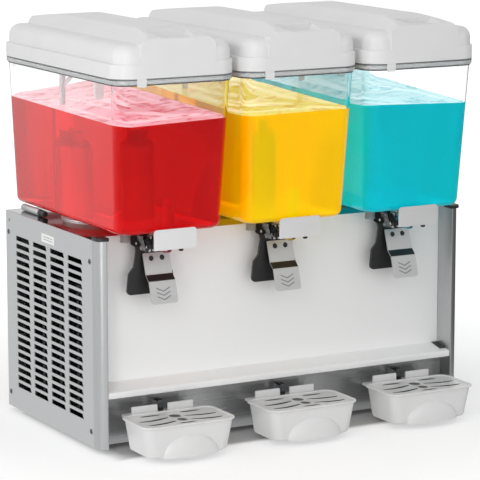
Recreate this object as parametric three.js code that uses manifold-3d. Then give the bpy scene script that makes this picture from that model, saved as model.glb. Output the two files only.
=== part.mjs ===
// Three-tank chilled juice dispenser.
// Units are millimetres, +Z is up and the front looks along -Y.
// Inside the functions, y = 0 is the plane of the cabinet's front pillars.

import * as THREE from 'three';
import { mergeVertices } from 'three/addons/utils/BufferGeometryUtils.js';
import Module from 'manifold-3d';

const wasm = await Module();
wasm.setup();

// Fits shared by all pieces
const seatGap = 0.3;
const cutOverrun = 2;
const weldOverlap = 0.5;
const fullTurn = 360;

// Cabinet
const cabinetWidth = 630;
const cabinetDepth = 330;
const cabinetTop = 320;
const sheet = 1.5;
const pillarWidth = 15;
const pillarDepth = 20;
const pillarFlange = 12;
const panelRecess = 38;
const lowerRecess = 27;
const creaseHeight = 100;
const lipSetback = 2;
const lipDrop = 7.5;
const lipHeight = 9.5;
const lowerPanelDrop = 4;
const deckSkirt = 14;
const panWall = 12;
const capThickness = 5;
const capOverhang = 1;
const capPlugDepth = 8;
const capPlugShrink = 3;
const noseClosingShare = 0.93;
const slopeWallShare = 0.8;

// Feet
const footHeight = 8;
const footRadius = 14;
const footInset = 34;
const footSoleShare = 0.8;

// Louvres of the side panels
const louvreColumns = 4;
const louvreRows = 20;
const louvreHeight = 7.5;
const louvreColumnGap = 12.5;
const louvreFrontMargin = 34.6;
const louvreRearMargin = 37.9;
const louvreTopMargin = 35;
const louvreBottomMargin = 36;

// Vents of the back panel
const ventColumns = 3;
const ventRows = 9;
const ventLength = 90;
const ventHeight = 8;
const ventColumnPitch = 120;
const ventBase = 90;
const ventTopMargin = 70;

// Stations: one tank, valve and drip tray each
const stationCount = 3;
const cornerSteps = 3;

// Tank
const tankSeat = 11;
const tankHeight = 229.7;
const tankRimHeight = 8.5;
const tankRimFlange = 3;
const tankWall = 3;
const tankSideGap = 10;
const tankTaper = 9;
const tankFrontTop = -50;
const tankFrontLean = 16;
const tankRearOverhang = 20;
const tankRearLean = 8;
const tankCorner = 30;
const tankFillet = 10;

// Where a rounded edge has its middle point, across and along
const roundMiddleShare = 0.3;
const roundRiseShare = 0.4;

// Lid
const lidSideGap = 5;
const lidOverhang = 5;
const lidCorner = 32;
const lidBand = 21;
const lidInset = 5;
const lidShoulder = 49;
const lidShoulderRound = 16;
const lidWall = 3;
const lidSpigotDepth = 8;
const lidSpigotPlay = 0.7;
const lidSpigotWall = 2.8;
const spineSideMargin = 39;
const spineTopInset = 28;
const spineFrontHeight = 57;
const spineCrestHeight = 67;
const spineEndRun = 95;
const spineDroopShare = 0.65;
const spineWall = 3;
const thumbSideMargin = 36;
const thumbLength = 39;
const thumbDepth = 1;
const thumbSlope = 12;
const baffleSideMargin = 40;
const baffleSetback = 145;
const baffleWidth = 14;
const baffleThickness = 5;
const baffleDrop = 49;

// Cold drum, seal ring and agitator
const drumRearMargin = 130;
const drumSideMargin = 34;
const drumHeight = 120;
const drumWall = 2;
const drumDome = 7;
const drumFlange = 12;
const drumFlangeThickness = 2.5;
const drumPegRadius = 5;
const drumPegHeight = 20;
const drumPlay = 1.5;
const deckHoleMargin = 24;
const sealPlay = 0.5;
const sealWidth = 10;
const impellerHubRadius = 11;
const impellerHeight = 14;
const impellerTipMargin = 12;
const impellerVane = 3;
const impellerVanes = 4;
const roundSides = 20;
const smallSides = 10;

// Spray tube
const sprayOffset = 13;
const sprayRadius = 4.5;
const sprayFootRadius = 7;
const sprayFootHeight = 4;
const sprayTopMargin = 14.7;
const sprayForkDrop = 22;
const sprayReach = 24;
const sprayArmShare = 0.7;

// Valve under the tank
const stemSetback = 22;
const stemRadius = 9;
const stemPlay = 0.4;
const stemHeight = 47;
const valveFlangeRadius = 18;
const valveFlangeHeight = 4;
const funnelRadius = 27;
const nozzleRadius = 11;
const nozzleDrop = 25.7;
const nozzleTipRadius = 8;
const nozzleTipLength = 6;
const bossHalfWidth = 14;
const bossHeight = 12;
const bridgeHeight = 4;
const earThickness = 4;
const earTail = 6;
const earAdvance = 8;
const pivotSetback = 28;
const pivotDrop = 8.7;
const pinRadius = 2.2;
const pinPlay = 0.5;
const coverStandoff = 29.8;
const coverHalfWidth = 35;
const coverRise = 7.3;
const coverHeight = 30.5;
const coverCorner = 5;
const coverReturn = 7;

// Lever and push plate
const leverX = -12;
const barrelRadius = 5;
const barrelHalfLength = 25.5;
const leverThickness = 4;
const leverSetback = 4;
const leverLean = 6;
const leverNeckHeight = 12;
const leverShankHeight = 26;
const leverFlareHeight = 7;
const leverPadHeight = 30;
const leverHalfBottom = 41;
const leverHalfShoulder = 35;
const leverHalfWaist = 26;
const leverHalfNeck = 18;
const leverCorner = 4;
const plateX = -5;
const plateHalfWidth = 22;
const plateThickness = 1.5;
const plateDrop = 19;
const plateStandoff = 8;
const plateUpperHeight = 31;
const plateLean = 10;
const plateStepHeight = 9;
const plateLowerHeight = 32;
const plateCorner = 5;
const studRadius = 3.5;
const studPlay = 0.4;
const studDrop = 8;
const studSpread = 9;
const studHead = 1.5;

// Drip tray and its grid
const traySideMargin = 31;
const trayTaper = 8;
const trayFrontTop = -91;
const trayFrontLean = 5;
const trayRearTop = -7;
const trayRearLean = 3;
const trayRimTop = 58;
const trayRimHeight = 3;
const trayRimFlange = 3;
const trayBottom = 9;
const trayWall = 2.5;
const trayCorner = 15;
const archSideMargin = 20;
const archHeight = 33;
const archReach = 12;
const shelfSideMargin = 16;
const shelfDrop = 9;
const shelfThickness = 3;
const tabInner = 9;
const tabSideMargin = 7;
const tabFront = 2;
const tabThickness = 3;
const tabRise = 9;
const hookHalfWidth = 4;
const hookRise = 14;
const hookHeight = 4;
const hookReach = 19;
const gridRecess = 1;
const gridThickness = 2.5;
const gridPlay = 0.35;
const ovalRearWidth = 9;
const ovalRearDepth = 9.5;
const ovalFrontWidth = 7.5;
const ovalFrontDepth = 8.5;
const ovalRearSetback = 12;
const ovalFrontAdvance = 11.5;
const slotWidth = 6.5;
const slotFall = 8;
const slotBow = 126;
const slotStartDrop = 4;
const slotSideMargin = 23;
const slotSteps = 6;
const slotTipShare = 0.55;
const slotGap = 4;
const tailSlotAdvance = 14;
const tailSlotHalfDepth = 4.5;
const tailSlotInner = 16;
const tailSlotSideMargin = 24;
const noseSlotSetback = 11;
const noseSlotHalf = 17;
const noseSlotHalfDepth = 2.5;

// Drain tube on the deck
const drainSideMargin = 22;
const drainRadius = 5.3;
const drainRearMargin = 20;
const drainLength = 60;
const drainCapLength = 20;
const drainCapShrink = 0.4;

// Cooling set inside the cabinet
const compressorX = 60;
const compressorRearMargin = 150;
const compressorRadius = 58;
const compressorHeight = 150;
const compressorDome = 26;
const compressorFootShare = 0.9;
const compressorCrownShare = 0.72;
const compressorPlateHalf = 74;
const compressorPlateThickness = 4;
const condenserSideMargin = 15;
const condenserThickness = 36;
const condenserFront = 66;
const condenserRearMargin = 36;
const condenserTopMargin = 82;
const condenserFins = 14;
const condenserFinDepth = 11;
const condenserFinGap = 6;
const condenserRim = 12;
const shroudThickness = 3;
const fanMargin = 30;
const fanPlay = 4;
const fanHubRadius = 20;
const fanHubLength = 18;
const fanStandoff = 5;
const fanBladeThickness = 2.4;
const fanBladePitch = Math.PI / 6;
const fanBlades = 5;
const fanShaftRadius = 3;
const fanShaftPlay = 0.4;
const motorRadius = 27;
const motorLength = 40;
const motorArms = 3;
const motorArmWidth = 8;
const motorArmThickness = 3;

// Power inlet and rocker switch on the back panel
const inletSideMargin = 80;
const inletZ = 60;
const inletHalfWidth = 17;
const inletHalfHeight = 32;
const inletFlange = 4;
const inletFlangeThickness = 2.5;
const inletDepth = 24;
const inletPlay = 0.4;
const socketHalfWidth = 12;
const socketHalfHeight = 8;
const socketZ = -16;
const socketDepth = 16;
const rockerHalfWidth = 9;
const rockerHalfHeight = 11;
const rockerZ = 14;
const rockerDepth = 8;
const rockerPlay = 0.6;
const rockerRise = 2;
const rockerPocket = 12;
const rockerPinRadius = 1.5;
const rockerRootShare = 0.8;
const rockerFaceShare = 0.94;

// Cabinet sizes that follow from the ones above
const halfCabinet = cabinetWidth / 2;
const pillarInner = halfCabinet - pillarWidth;
const lipTop = creaseHeight - lipDrop;
const lowerPanelTop = creaseHeight - lowerPanelDrop;
const panFloor = footHeight + seatGap + sheet;
const insideRear = cabinetDepth - sheet - seatGap;
const insideHalf = halfCabinet - sheet - seatGap;
const louvreGaps = (louvreColumns - 1) * louvreColumnGap;
const louvreRun = cabinetDepth - pillarDepth - louvreFrontMargin - louvreRearMargin - louvreGaps;
const louvreLength = louvreRun / louvreColumns;
const ventRowPitch = (cabinetTop - ventTopMargin - ventBase) / (ventRows - 1);
const drainX = drainSideMargin - halfCabinet;
const drainRear = cabinetDepth - drainRearMargin;
const drainFront = drainRear - drainLength;
const inletX = halfCabinet - inletSideMargin;

// Tank and lid sizes that follow
const stationPitch = cabinetWidth / stationCount;
const tankBottom = cabinetTop + tankSeat;
const tankRimTop = tankBottom + tankHeight;
const rimBottom = tankRimTop - tankRimHeight;
const tankHalfTop = stationPitch / 2 - tankSideGap;
const tankHalfBottom = tankHalfTop - tankTaper;
const tankFrontBottom = tankFrontTop + tankFrontLean;
const tankRearTop = cabinetDepth + tankRearOverhang;
const tankRearBottom = tankRearTop - tankRearLean;
const lidBase = tankRimTop + seatGap;
const lidHalfWidth = stationPitch / 2 - lidSideGap;
const lidFront = tankFrontTop - lidOverhang;
const lidRear = tankRearTop + lidOverhang;
const spineHalfWidth = lidHalfWidth - spineSideMargin;
const spineTopHalf = spineHalfWidth - spineTopInset;
const thumbHalfWidth = spineHalfWidth - thumbSideMargin;
const baffleX = baffleSideMargin - tankHalfTop;
const baffleY = tankFrontTop + baffleSetback;

// Drum and spray tube sizes that follow
const drumY = cabinetDepth - drumRearMargin;
const drumRadius = tankHalfBottom - drumSideMargin;
const drumTop = cabinetTop + drumHeight;
const deckHoleRadius = drumRadius - deckHoleMargin;
const impellerReach = drumRadius - impellerTipMargin;
const sprayX = -drumRadius - sprayOffset;
const sprayTop = tankRimTop - sprayTopMargin;
const sprayForkHeight = sprayTop - sprayForkDrop;

// Valve sizes that follow
const valveTop = tankBottom - seatGap;
const valveFlangeBottom = valveTop - valveFlangeHeight;
const stemY = tankFrontBottom + stemSetback;
const stemTop = tankBottom + stemHeight;
const nozzleTop = valveTop - nozzleDrop;
const nozzleBottom = nozzleTop - nozzleTipLength;
const pivotY = stemY + pivotSetback;
const pivotZ = valveFlangeBottom - bridgeHeight - pivotDrop;
const earBottom = pivotZ - earTail;
const earFront = stemY - earAdvance;
const coverY = stemY - coverStandoff;
const coverTop = valveTop + coverRise;
const coverBottom = coverTop - coverHeight;

// Lever and push plate sizes that follow
const leverTopY = pivotY + leverSetback;
const leverBottomY = leverTopY - leverLean;
const leverYoke = pivotZ - barrelRadius;
const leverNeck = leverYoke - leverNeckHeight;
const leverWaist = leverNeck - leverShankHeight;
const leverShoulder = leverWaist - leverFlareHeight;
const leverBottom = leverShoulder - leverPadHeight;
const plateTop = pivotZ - plateDrop;
const plateBend = plateTop - plateUpperHeight;
const plateStep = plateBend - plateStepHeight;
const plateBottom = plateStep - plateLowerHeight;
const plateTopY = leverTopY - plateStandoff;
const plateBendY = plateTopY - plateLean;
const plateStepY = plateBendY - plateLean;
const plateBottomY = plateStepY - plateLean;
const studZ = plateTop - studDrop;

// Tray and grid sizes that follow
const trayHalfTop = stationPitch / 2 - traySideMargin;
const trayHalfBottom = trayHalfTop - trayTaper;
const trayFrontBottom = trayFrontTop + trayFrontLean;
const trayRearBottom = trayRearTop - trayRearLean;
const trayMiddleY = (trayFrontTop + trayRearTop) / 2;
const archHalfWidth = trayHalfBottom - archSideMargin;
const shelfHalfWidth = trayHalfTop - shelfSideMargin;
const shelfBottom = trayRimTop - shelfDrop;
const tabOuter = shelfHalfWidth - tabSideMargin;
const tabTop = trayRimTop + tabRise;
const hookTop = trayRimTop + hookRise;
const hookFront = lowerRecess - hookReach;
const gridTop = trayRimTop - gridRecess;
const ovalRearY = trayMiddleY + ovalRearSetback;
const ovalFrontY = trayMiddleY - ovalFrontAdvance;
const sweptSlotLength = trayHalfTop - slotSideMargin;
const tailSlotY = trayRearTop - tailSlotAdvance;
const tailSlotOuter = trayHalfTop - tailSlotSideMargin;
const tailSlotX = (tailSlotInner + tailSlotOuter) / 2;
const tailSlotHalf = (tailSlotOuter - tailSlotInner) / 2;
const noseSlotY = trayFrontTop + noseSlotSetback;

// Cooling set sizes that follow
const compressorY = cabinetDepth - compressorRearMargin;
const condenserX = condenserSideMargin - halfCabinet;
const condenserRear = cabinetDepth - condenserRearMargin;
const condenserTop = cabinetTop - condenserTopMargin;
const shroudHalfWidth = (condenserRear - condenserFront) / 2;
const shroudHalfHeight = (condenserTop - panFloor) / 2;
const fanRadius = Math.min(shroudHalfWidth, shroudHalfHeight) - fanMargin;
const fanY = (condenserFront + condenserRear) / 2;
const fanZ = (panFloor + condenserTop) / 2;
const shroudX = condenserX + condenserThickness + seatGap;
const fanX = shroudX + shroudThickness + fanStandoff;
const motorX = fanX + fanHubLength + seatGap;

// Materials
const brushedSteel = new THREE.MeshStandardMaterial({ color: 0xd4d5d6, roughness: 0.34, metalness: 1 });
const satinSteel = new THREE.MeshStandardMaterial({ color: 0xc4c5c6, roughness: 0.45, metalness: 0.9 });
const mirrorSteel = new THREE.MeshStandardMaterial({ color: 0xb9bbbd, roughness: 0.08, metalness: 1 });
const zincSteel = new THREE.MeshStandardMaterial({ color: 0x8d9196, roughness: 0.5, metalness: 0.8 });
const clearPlastic = new THREE.MeshStandardMaterial({ color: 0xe9eff0, roughness: 0.06, metalness: 0 });
const whitePlastic = new THREE.MeshStandardMaterial({ color: 0xe6e6e6, roughness: 0.4, metalness: 0 });
const greyPlastic = new THREE.MeshStandardMaterial({ color: 0xcfd1d2, roughness: 0.45, metalness: 0 });
const blackPlastic = new THREE.MeshStandardMaterial({ color: 0x2c2c2d, roughness: 0.5, metalness: 0 });
const blackPaint = new THREE.MeshStandardMaterial({ color: 0x1c1d1f, roughness: 0.4, metalness: 0.2 });
const sealRubber = new THREE.MeshStandardMaterial({ color: 0xb8b4ac, roughness: 0.7, metalness: 0 });

// Turns a closed three.js geometry into a solid that can be joined and cut
function toSolid(geometry) {
  const bare = geometry.clone();
  bare.deleteAttribute('normal');
  bare.deleteAttribute('uv');
  const merged = mergeVertices(bare);
  const mesh = new wasm.Mesh({
    numProp: 3,
    vertProperties: new Float32Array(merged.attributes.position.array),
    triVerts: new Uint32Array(merged.index.array),
  });
  return new wasm.Manifold(mesh);
}

function toGeometry(solid) {
  const mesh = solid.getMesh();
  const geometry = new THREE.BufferGeometry();
  geometry.setAttribute('position', new THREE.BufferAttribute(mesh.vertProperties, 3));
  geometry.setIndex(new THREE.BufferAttribute(mesh.triVerts, 1));
  geometry.computeVertexNormals();
  return geometry;
}

function joined(solids) {
  return solids.reduce((whole, piece) => whole.add(piece));
}

// A box between two corners
function block(x0, x1, y0, y1, z0, z1) {
  const geometry = new THREE.BoxGeometry(x1 - x0, y1 - y0, z1 - z0);
  geometry.translate((x0 + x1) / 2, (y0 + y1) / 2, (z0 + z1) / 2);
  return toSolid(geometry);
}

// An outline pushed along one axis: (y, z) along x, (x, z) along y, (x, y) along z
function prism(axis, points, from, to) {
  const shape = new THREE.Shape(points.map(([a, b]) => new THREE.Vector2(a, b)));
  const geometry = new THREE.ExtrudeGeometry(shape, { depth: to - from, bevelEnabled: false });
  const turn = new THREE.Matrix4();
  if (axis === 'x') {
    turn.makeBasis(new THREE.Vector3(0, 1, 0), new THREE.Vector3(0, 0, 1), new THREE.Vector3(1, 0, 0));
    turn.setPosition(from, 0, 0);
  } else if (axis === 'y') {
    turn.makeBasis(new THREE.Vector3(1, 0, 0), new THREE.Vector3(0, 0, 1), new THREE.Vector3(0, -1, 0));
    turn.setPosition(0, to, 0);
  } else {
    turn.setPosition(0, 0, from);
  }
  geometry.applyMatrix4(turn);
  return toSolid(geometry);
}

// The same with outlines cut right through it
function pierced(axis, points, from, to, holes) {
  const cuts = holes.map((hole) => prism(axis, hole, from - cutOverrun, to + cutOverrun));
  return prism(axis, points, from, to).subtract(joined(cuts));
}

function circle(a, b, radius, sides = roundSides) {
  return Array.from({ length: sides }, (_, i) => {
    const turn = (2 * Math.PI * i) / sides;
    return [a + radius * Math.cos(turn), b + radius * Math.sin(turn)];
  });
}

function arc(a, b, radius, start, end, steps) {
  return Array.from({ length: steps + 1 }, (_, i) => {
    const turn = start + ((end - start) * i) / steps;
    return [a + radius * Math.cos(turn), b + radius * Math.sin(turn)];
  });
}

function rectangle(a0, a1, b0, b1) {
  return [[a0, b0], [a1, b0], [a1, b1], [a0, b1]];
}

// A rectangle with round corners, anticlockwise
function roundedRectangle(a0, a1, b0, b1, radius, steps = cornerSteps) {
  const right = Math.PI / 2;
  return [
    ...arc(a1 - radius, b0 + radius, radius, -right, 0, steps),
    ...arc(a1 - radius, b1 - radius, radius, 0, right, steps),
    ...arc(a0 + radius, b1 - radius, radius, right, 2 * right, steps),
    ...arc(a0 + radius, b0 + radius, radius, 2 * right, 3 * right, steps),
  ];
}

// A solid of revolution about z, moved to (x, y); the profile is (radius, z) from bottom to top
function turned(profile, x, y, sides = roundSides) {
  const points = profile.map(([radius, z]) => new THREE.Vector2(radius, z));
  const geometry = new THREE.LatheGeometry(points, sides);
  geometry.rotateX(Math.PI / 2);
  geometry.translate(x, y, 0);
  return toSolid(geometry);
}

// A skin through rings of equal length, closed by flat ends; rings run from bottom to top
function loft(rings) {
  const count = rings[0].length;
  const positions = rings.flat(2);
  const index = [];
  for (let level = 0; level + 1 < rings.length; level += 1) {
    for (let i = 0; i < count; i += 1) {
      const next = (i + 1) % count;
      const low = level * count;
      const high = low + count;
      index.push(low + i, low + next, high + next, low + i, high + next, high + i);
    }
  }
  const last = (rings.length - 1) * count;
  for (let i = 1; i + 1 < count; i += 1) {
    index.push(0, i + 1, i);
    index.push(last, last + i, last + i + 1);
  }
  const geometry = new THREE.BufferGeometry();
  geometry.setAttribute('position', new THREE.Float32BufferAttribute(positions, 3));
  geometry.setIndex(index);
  return toSolid(geometry);
}

// One level of a box-like vessel with round vertical corners
function vesselRing(half, front, rear, radius, z) {
  return roundedRectangle(-half, half, front, rear, radius).map(([x, y]) => [x, y, z]);
}

// A tube of round section along a list of points
function tube(points, radius, sides) {
  const path = new THREE.CurvePath();
  for (let i = 0; i + 1 < points.length; i += 1) {
    const from = new THREE.Vector3(...points[i]);
    const to = new THREE.Vector3(...points[i + 1]);
    path.add(new THREE.LineCurve3(from, to));
  }
  const shape = new THREE.Shape(circle(0, 0, radius, sides).map(([a, b]) => new THREE.Vector2(a, b)));
  const options = { steps: points.length - 1, extrudePath: path, bevelEnabled: false };
  return toSolid(new THREE.ExtrudeGeometry(shape, options));
}

function blend(low, high, share) {
  return low + (high - low) * share;
}

const machine = new THREE.Group();

function place(parent, name, solid, material) {
  const mesh = new THREE.Mesh(toGeometry(solid), material);
  mesh.name = name;
  parent.add(mesh);
}

// Cabinet

function louvreHoles() {
  const pitchY = louvreLength + louvreColumnGap;
  const low = footHeight + louvreBottomMargin;
  const high = cabinetTop - louvreTopMargin - louvreHeight;
  const holes = [];
  for (let column = 0; column < louvreColumns; column += 1) {
    const front = pillarDepth + louvreFrontMargin + column * pitchY;
    for (let row = 0; row < louvreRows; row += 1) {
      const bottom = blend(low, high, row / (louvreRows - 1));
      holes.push(rectangle(front, front + louvreLength, bottom, bottom + louvreHeight));
    }
  }
  return holes;
}

function sidePanel() {
  const outline = rectangle(pillarDepth + seatGap, cabinetDepth, footHeight, cabinetTop);
  return pierced('x', outline, halfCabinet - sheet, halfCabinet, louvreHoles());
}

// Bent sheet column: seam edge, quarter-round nose, then a wall back past the front panel
function pillar() {
  const half = Math.PI / 2;
  const centreX = halfCabinet - pillarWidth;
  const outer = arc(centreX, pillarWidth, pillarWidth, 0, -half, cornerSteps);
  const inner = arc(centreX, pillarWidth, pillarWidth - sheet, -half * noseClosingShare, 0,
    cornerSteps);
  const back = panelRecess + pillarFlange;
  const outline = [
    [halfCabinet, pillarDepth],
    ...outer,
    [centreX, back],
    [centreX + sheet, back],
    [centreX + sheet, pillarWidth],
    ...inner,
    [halfCabinet - sheet, pillarDepth],
  ];
  return prism('z', outline.reverse(), footHeight, cabinetTop);
}

function pillarCap() {
  const bottom = cabinetTop + seatGap;
  const outer = halfCabinet + capOverhang;
  const inner = pillarInner - capOverhang - sheet;
  const front = -capOverhang;
  const rear = pillarDepth + capOverhang;
  const corner = pillarWidth + capOverhang;
  const outline = [
    [inner, rear],
    [inner, front],
    ...arc(outer - corner, front + corner, corner, -Math.PI / 2, 0, cornerSteps),
    [outer, rear],
  ];
  const head = prism('z', outline, bottom, bottom + capThickness);
  const plug = block(
    pillarInner + capPlugShrink, halfCabinet - capPlugShrink - sheet,
    pillarWidth - capPlugShrink, pillarDepth - capPlugShrink + sheet,
    bottom - capPlugDepth, bottom + weldOverlap,
  );
  return head.add(plug);
}

function mirroredX(solid) {
  return solid.mirror([1, 0, 0]);
}

// Flat front panel, sloping apron and lip, bent from one sheet
function frontPanel() {
  const slope = sheet * slopeWallShare;
  const outline = [
    [panelRecess, cabinetTop],
    [panelRecess, creaseHeight],
    [lipSetback, lipTop],
    [lipSetback, lipTop - lipHeight],
    [lowerRecess - seatGap, lipTop - lipHeight],
    [lowerRecess - seatGap, lipTop - lipHeight + sheet],
    [lipSetback + sheet, lipTop - lipHeight + sheet],
    [lipSetback + sheet, lipTop - slope],
    [panelRecess + sheet, creaseHeight - slope],
    [panelRecess + sheet, cabinetTop],
  ];
  return prism('x', outline, seatGap - pillarInner, pillarInner - seatGap);
}

// A bent hook on the lower panel that holds one drip tray
function trayHook(x) {
  const bar = block(x - hookHalfWidth, x + hookHalfWidth, hookFront, lowerRecess + weldOverlap,
    hookTop - hookHeight, hookTop);
  const nose = block(x - hookHalfWidth, x + hookHalfWidth, hookFront, hookFront + sheet,
    shelfBottom + shelfThickness + seatGap, hookTop);
  return bar.add(nose);
}

function stationX(station) {
  return (station - (stationCount - 1) / 2) * stationPitch;
}

function lowerPanel() {
  const plate = block(seatGap - pillarInner, pillarInner - seatGap, lowerRecess, lowerRecess + sheet,
    footHeight + seatGap, lowerPanelTop - sheet);
  const hooks = [];
  for (let station = 0; station < stationCount; station += 1) {
    hooks.push(trayHook(stationX(station)));
  }
  return joined([plate, ...hooks]);
}

function ventHoles() {
  const holes = [];
  for (let column = 0; column < ventColumns; column += 1) {
    const centre = (column - (ventColumns - 1) / 2) * ventColumnPitch - ventColumnPitch / 2;
    for (let row = 0; row < ventRows; row += 1) {
      const bottom = ventBase + row * ventRowPitch;
      holes.push(rectangle(centre - ventLength / 2, centre + ventLength / 2, bottom, bottom + ventHeight));
    }
  }
  return holes;
}

function backPanel() {
  const outline = rectangle(-insideHalf, insideHalf, footHeight + seatGap, cabinetTop);
  const cutHalfWidth = inletHalfWidth + inletPlay;
  const cutHalfHeight = inletHalfHeight + inletPlay;
  const inletHole = rectangle(inletX - cutHalfWidth, inletX + cutHalfWidth,
    inletZ - cutHalfHeight, inletZ + cutHalfHeight);
  return pierced('y', outline, cabinetDepth - sheet, cabinetDepth, [...ventHoles(), inletHole]);
}

// Deck: a shallow inverted tray with one hole per cold drum
function topDeck() {
  const front = panelRecess + sheet + seatGap;
  const shell = block(-insideHalf, insideHalf, front, insideRear, cabinetTop - deckSkirt, cabinetTop);
  const flangeInner = panelRecess + pillarFlange + seatGap;
  const hollow = block(sheet - insideHalf, insideHalf - sheet, front + sheet, insideRear - sheet,
    cabinetTop - deckSkirt - cutOverrun, cabinetTop - sheet);
  const notch = block(pillarInner - seatGap, insideHalf + cutOverrun, front - cutOverrun, flangeInner,
    cabinetTop - deckSkirt - cutOverrun, cabinetTop + cutOverrun);
  let deck = shell.subtract(hollow).subtract(notch).subtract(mirroredX(notch));
  for (let station = 0; station < stationCount; station += 1) {
    const hole = prism('z', circle(stationX(station), drumY, deckHoleRadius),
      cabinetTop - deckSkirt, cabinetTop + cutOverrun);
    deck = deck.subtract(hole);
  }
  return deck;
}

function basePan() {
  const front = lowerRecess + sheet + seatGap;
  const bottom = footHeight + seatGap;
  const notchRear = panelRecess + pillarFlange + seatGap;
  const shell = block(-insideHalf, insideHalf, front, insideRear, bottom, bottom + panWall);
  const hollow = block(sheet - insideHalf, insideHalf - sheet, front + sheet, insideRear - sheet,
    panFloor, bottom + panWall + cutOverrun);
  const notch = block(pillarInner - seatGap, insideHalf + cutOverrun, front - cutOverrun, notchRear,
    bottom - cutOverrun, bottom + panWall + cutOverrun);
  return shell.subtract(hollow).subtract(notch).subtract(mirroredX(notch));
}

function foot(sideX, sideY) {
  const x = sideX * (halfCabinet - footInset);
  const front = lowerRecess + footInset;
  const rear = cabinetDepth - footInset;
  const y = sideY < 0 ? front : rear;
  const profile = [[0, 0], [footRadius * footSoleShare, 0], [footRadius, footHeight], [0, footHeight]];
  return turned(profile, x, y);
}

function buildCabinet(parent) {
  place(parent, 'side_panel_right', sidePanel(), satinSteel);
  place(parent, 'side_panel_left', mirroredX(sidePanel()), satinSteel);
  place(parent, 'pillar_right', pillar(), satinSteel);
  place(parent, 'pillar_left', mirroredX(pillar()), satinSteel);
  place(parent, 'pillar_cap_right', pillarCap(), blackPlastic);
  place(parent, 'pillar_cap_left', mirroredX(pillarCap()), blackPlastic);
  place(parent, 'front_panel', frontPanel(), brushedSteel);
  place(parent, 'lower_panel', lowerPanel(), mirrorSteel);
  place(parent, 'back_panel', backPanel(), satinSteel);
  place(parent, 'top_deck', topDeck(), mirrorSteel);
  place(parent, 'base_pan', basePan(), zincSteel);
  place(parent, 'foot_front_left', foot(-1, -1), blackPlastic);
  place(parent, 'foot_front_right', foot(1, -1), blackPlastic);
  place(parent, 'foot_rear_left', foot(-1, 1), blackPlastic);
  place(parent, 'foot_rear_right', foot(1, 1), blackPlastic);
}

// Cooling set

function compressor() {
  const bottom = panFloor + seatGap;
  const plate = block(compressorX - compressorPlateHalf, compressorX + compressorPlateHalf,
    compressorY - compressorPlateHalf, compressorY + compressorPlateHalf,
    bottom, bottom + compressorPlateThickness);
  const low = bottom + compressorPlateThickness - weldOverlap;
  const top = bottom + compressorHeight;
  const profile = [
    [0, low],
    [compressorRadius * compressorFootShare, low],
    [compressorRadius, low + compressorDome / 2],
    [compressorRadius, top - compressorDome],
    [compressorRadius * compressorCrownShare, top - compressorDome / 4],
    [0, top],
  ];
  return plate.add(turned(profile, compressorX, compressorY));
}

// Finned block; its fins are cut as grooves from both faces
function condenser() {
  const bottom = panFloor + seatGap;
  const inner = condenserX + condenserThickness;
  let core = block(condenserX, inner, condenserFront, condenserRear, bottom, condenserTop);
  const pitch = (condenserRear - condenserFront - condenserRim) / condenserFins;
  for (let fin = 0; fin < condenserFins; fin += 1) {
    const front = condenserFront + condenserRim + fin * pitch;
    const back = front + condenserFinGap;
    const low = bottom + condenserRim;
    const high = condenserTop - condenserRim;
    const outer = block(condenserX - cutOverrun, condenserX + condenserFinDepth, front, back, low, high);
    const other = block(inner - condenserFinDepth, inner + cutOverrun, front, back, low, high);
    core = core.subtract(outer).subtract(other);
  }
  return core;
}

function fanShroud() {
  const outline = rectangle(condenserFront, condenserRear, panFloor + seatGap, condenserTop);
  const opening = circle(fanY, fanZ, fanRadius + fanPlay);
  return pierced('x', outline, shroudX, shroudX + shroudThickness, [opening]);
}

function fanMotor() {
  const body = prism('x', circle(fanY, fanZ, motorRadius), motorX, motorX + motorLength);
  const shaft = prism('x', circle(fanY, fanZ, fanShaftRadius, smallSides), fanX, motorX + weldOverlap);
  const armX = motorX + motorLength - motorArmThickness;
  const armReach = fanRadius + fanPlay + motorArmWidth;
  const legStart = shroudX + shroudThickness + seatGap;
  const pieces = [body, shaft];
  for (let arm = 0; arm < motorArms; arm += 1) {
    const turn = Math.PI / 2 + (2 * Math.PI * arm) / motorArms;
    const spoke = block(0, motorArmThickness, 0, armReach, -motorArmWidth / 2, motorArmWidth / 2);
    const leg = block(legStart - armX, motorArmThickness, armReach - motorArmThickness, armReach,
      -motorArmWidth / 2, motorArmWidth / 2);
    const degrees = THREE.MathUtils.radToDeg(turn);
    pieces.push(spoke.add(leg).rotate([degrees, 0, 0]).translate([armX, fanY, fanZ]));
  }
  return joined(pieces);
}

function fan() {
  const hub = prism('x', circle(0, 0, fanHubRadius), 0, fanHubLength);
  const pieces = [hub];
  for (let blade = 0; blade < fanBlades; blade += 1) {
    const flat = block(-fanHubLength / 2, fanHubLength / 2, fanHubRadius - sheet, fanRadius,
      -fanBladeThickness / 2, fanBladeThickness / 2);
    const pitched = flat.rotate([0, THREE.MathUtils.radToDeg(fanBladePitch), 0]);
    const turn = (fullTurn * blade) / fanBlades;
    pieces.push(pitched.translate([fanHubLength / 2, 0, 0]).rotate([turn, 0, 0]));
  }
  const bore = prism('x', circle(0, 0, fanShaftRadius + fanShaftPlay, smallSides), -cutOverrun,
    fanHubLength + cutOverrun);
  return joined(pieces).subtract(bore).translate([fanX, fanY, fanZ]);
}

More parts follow.
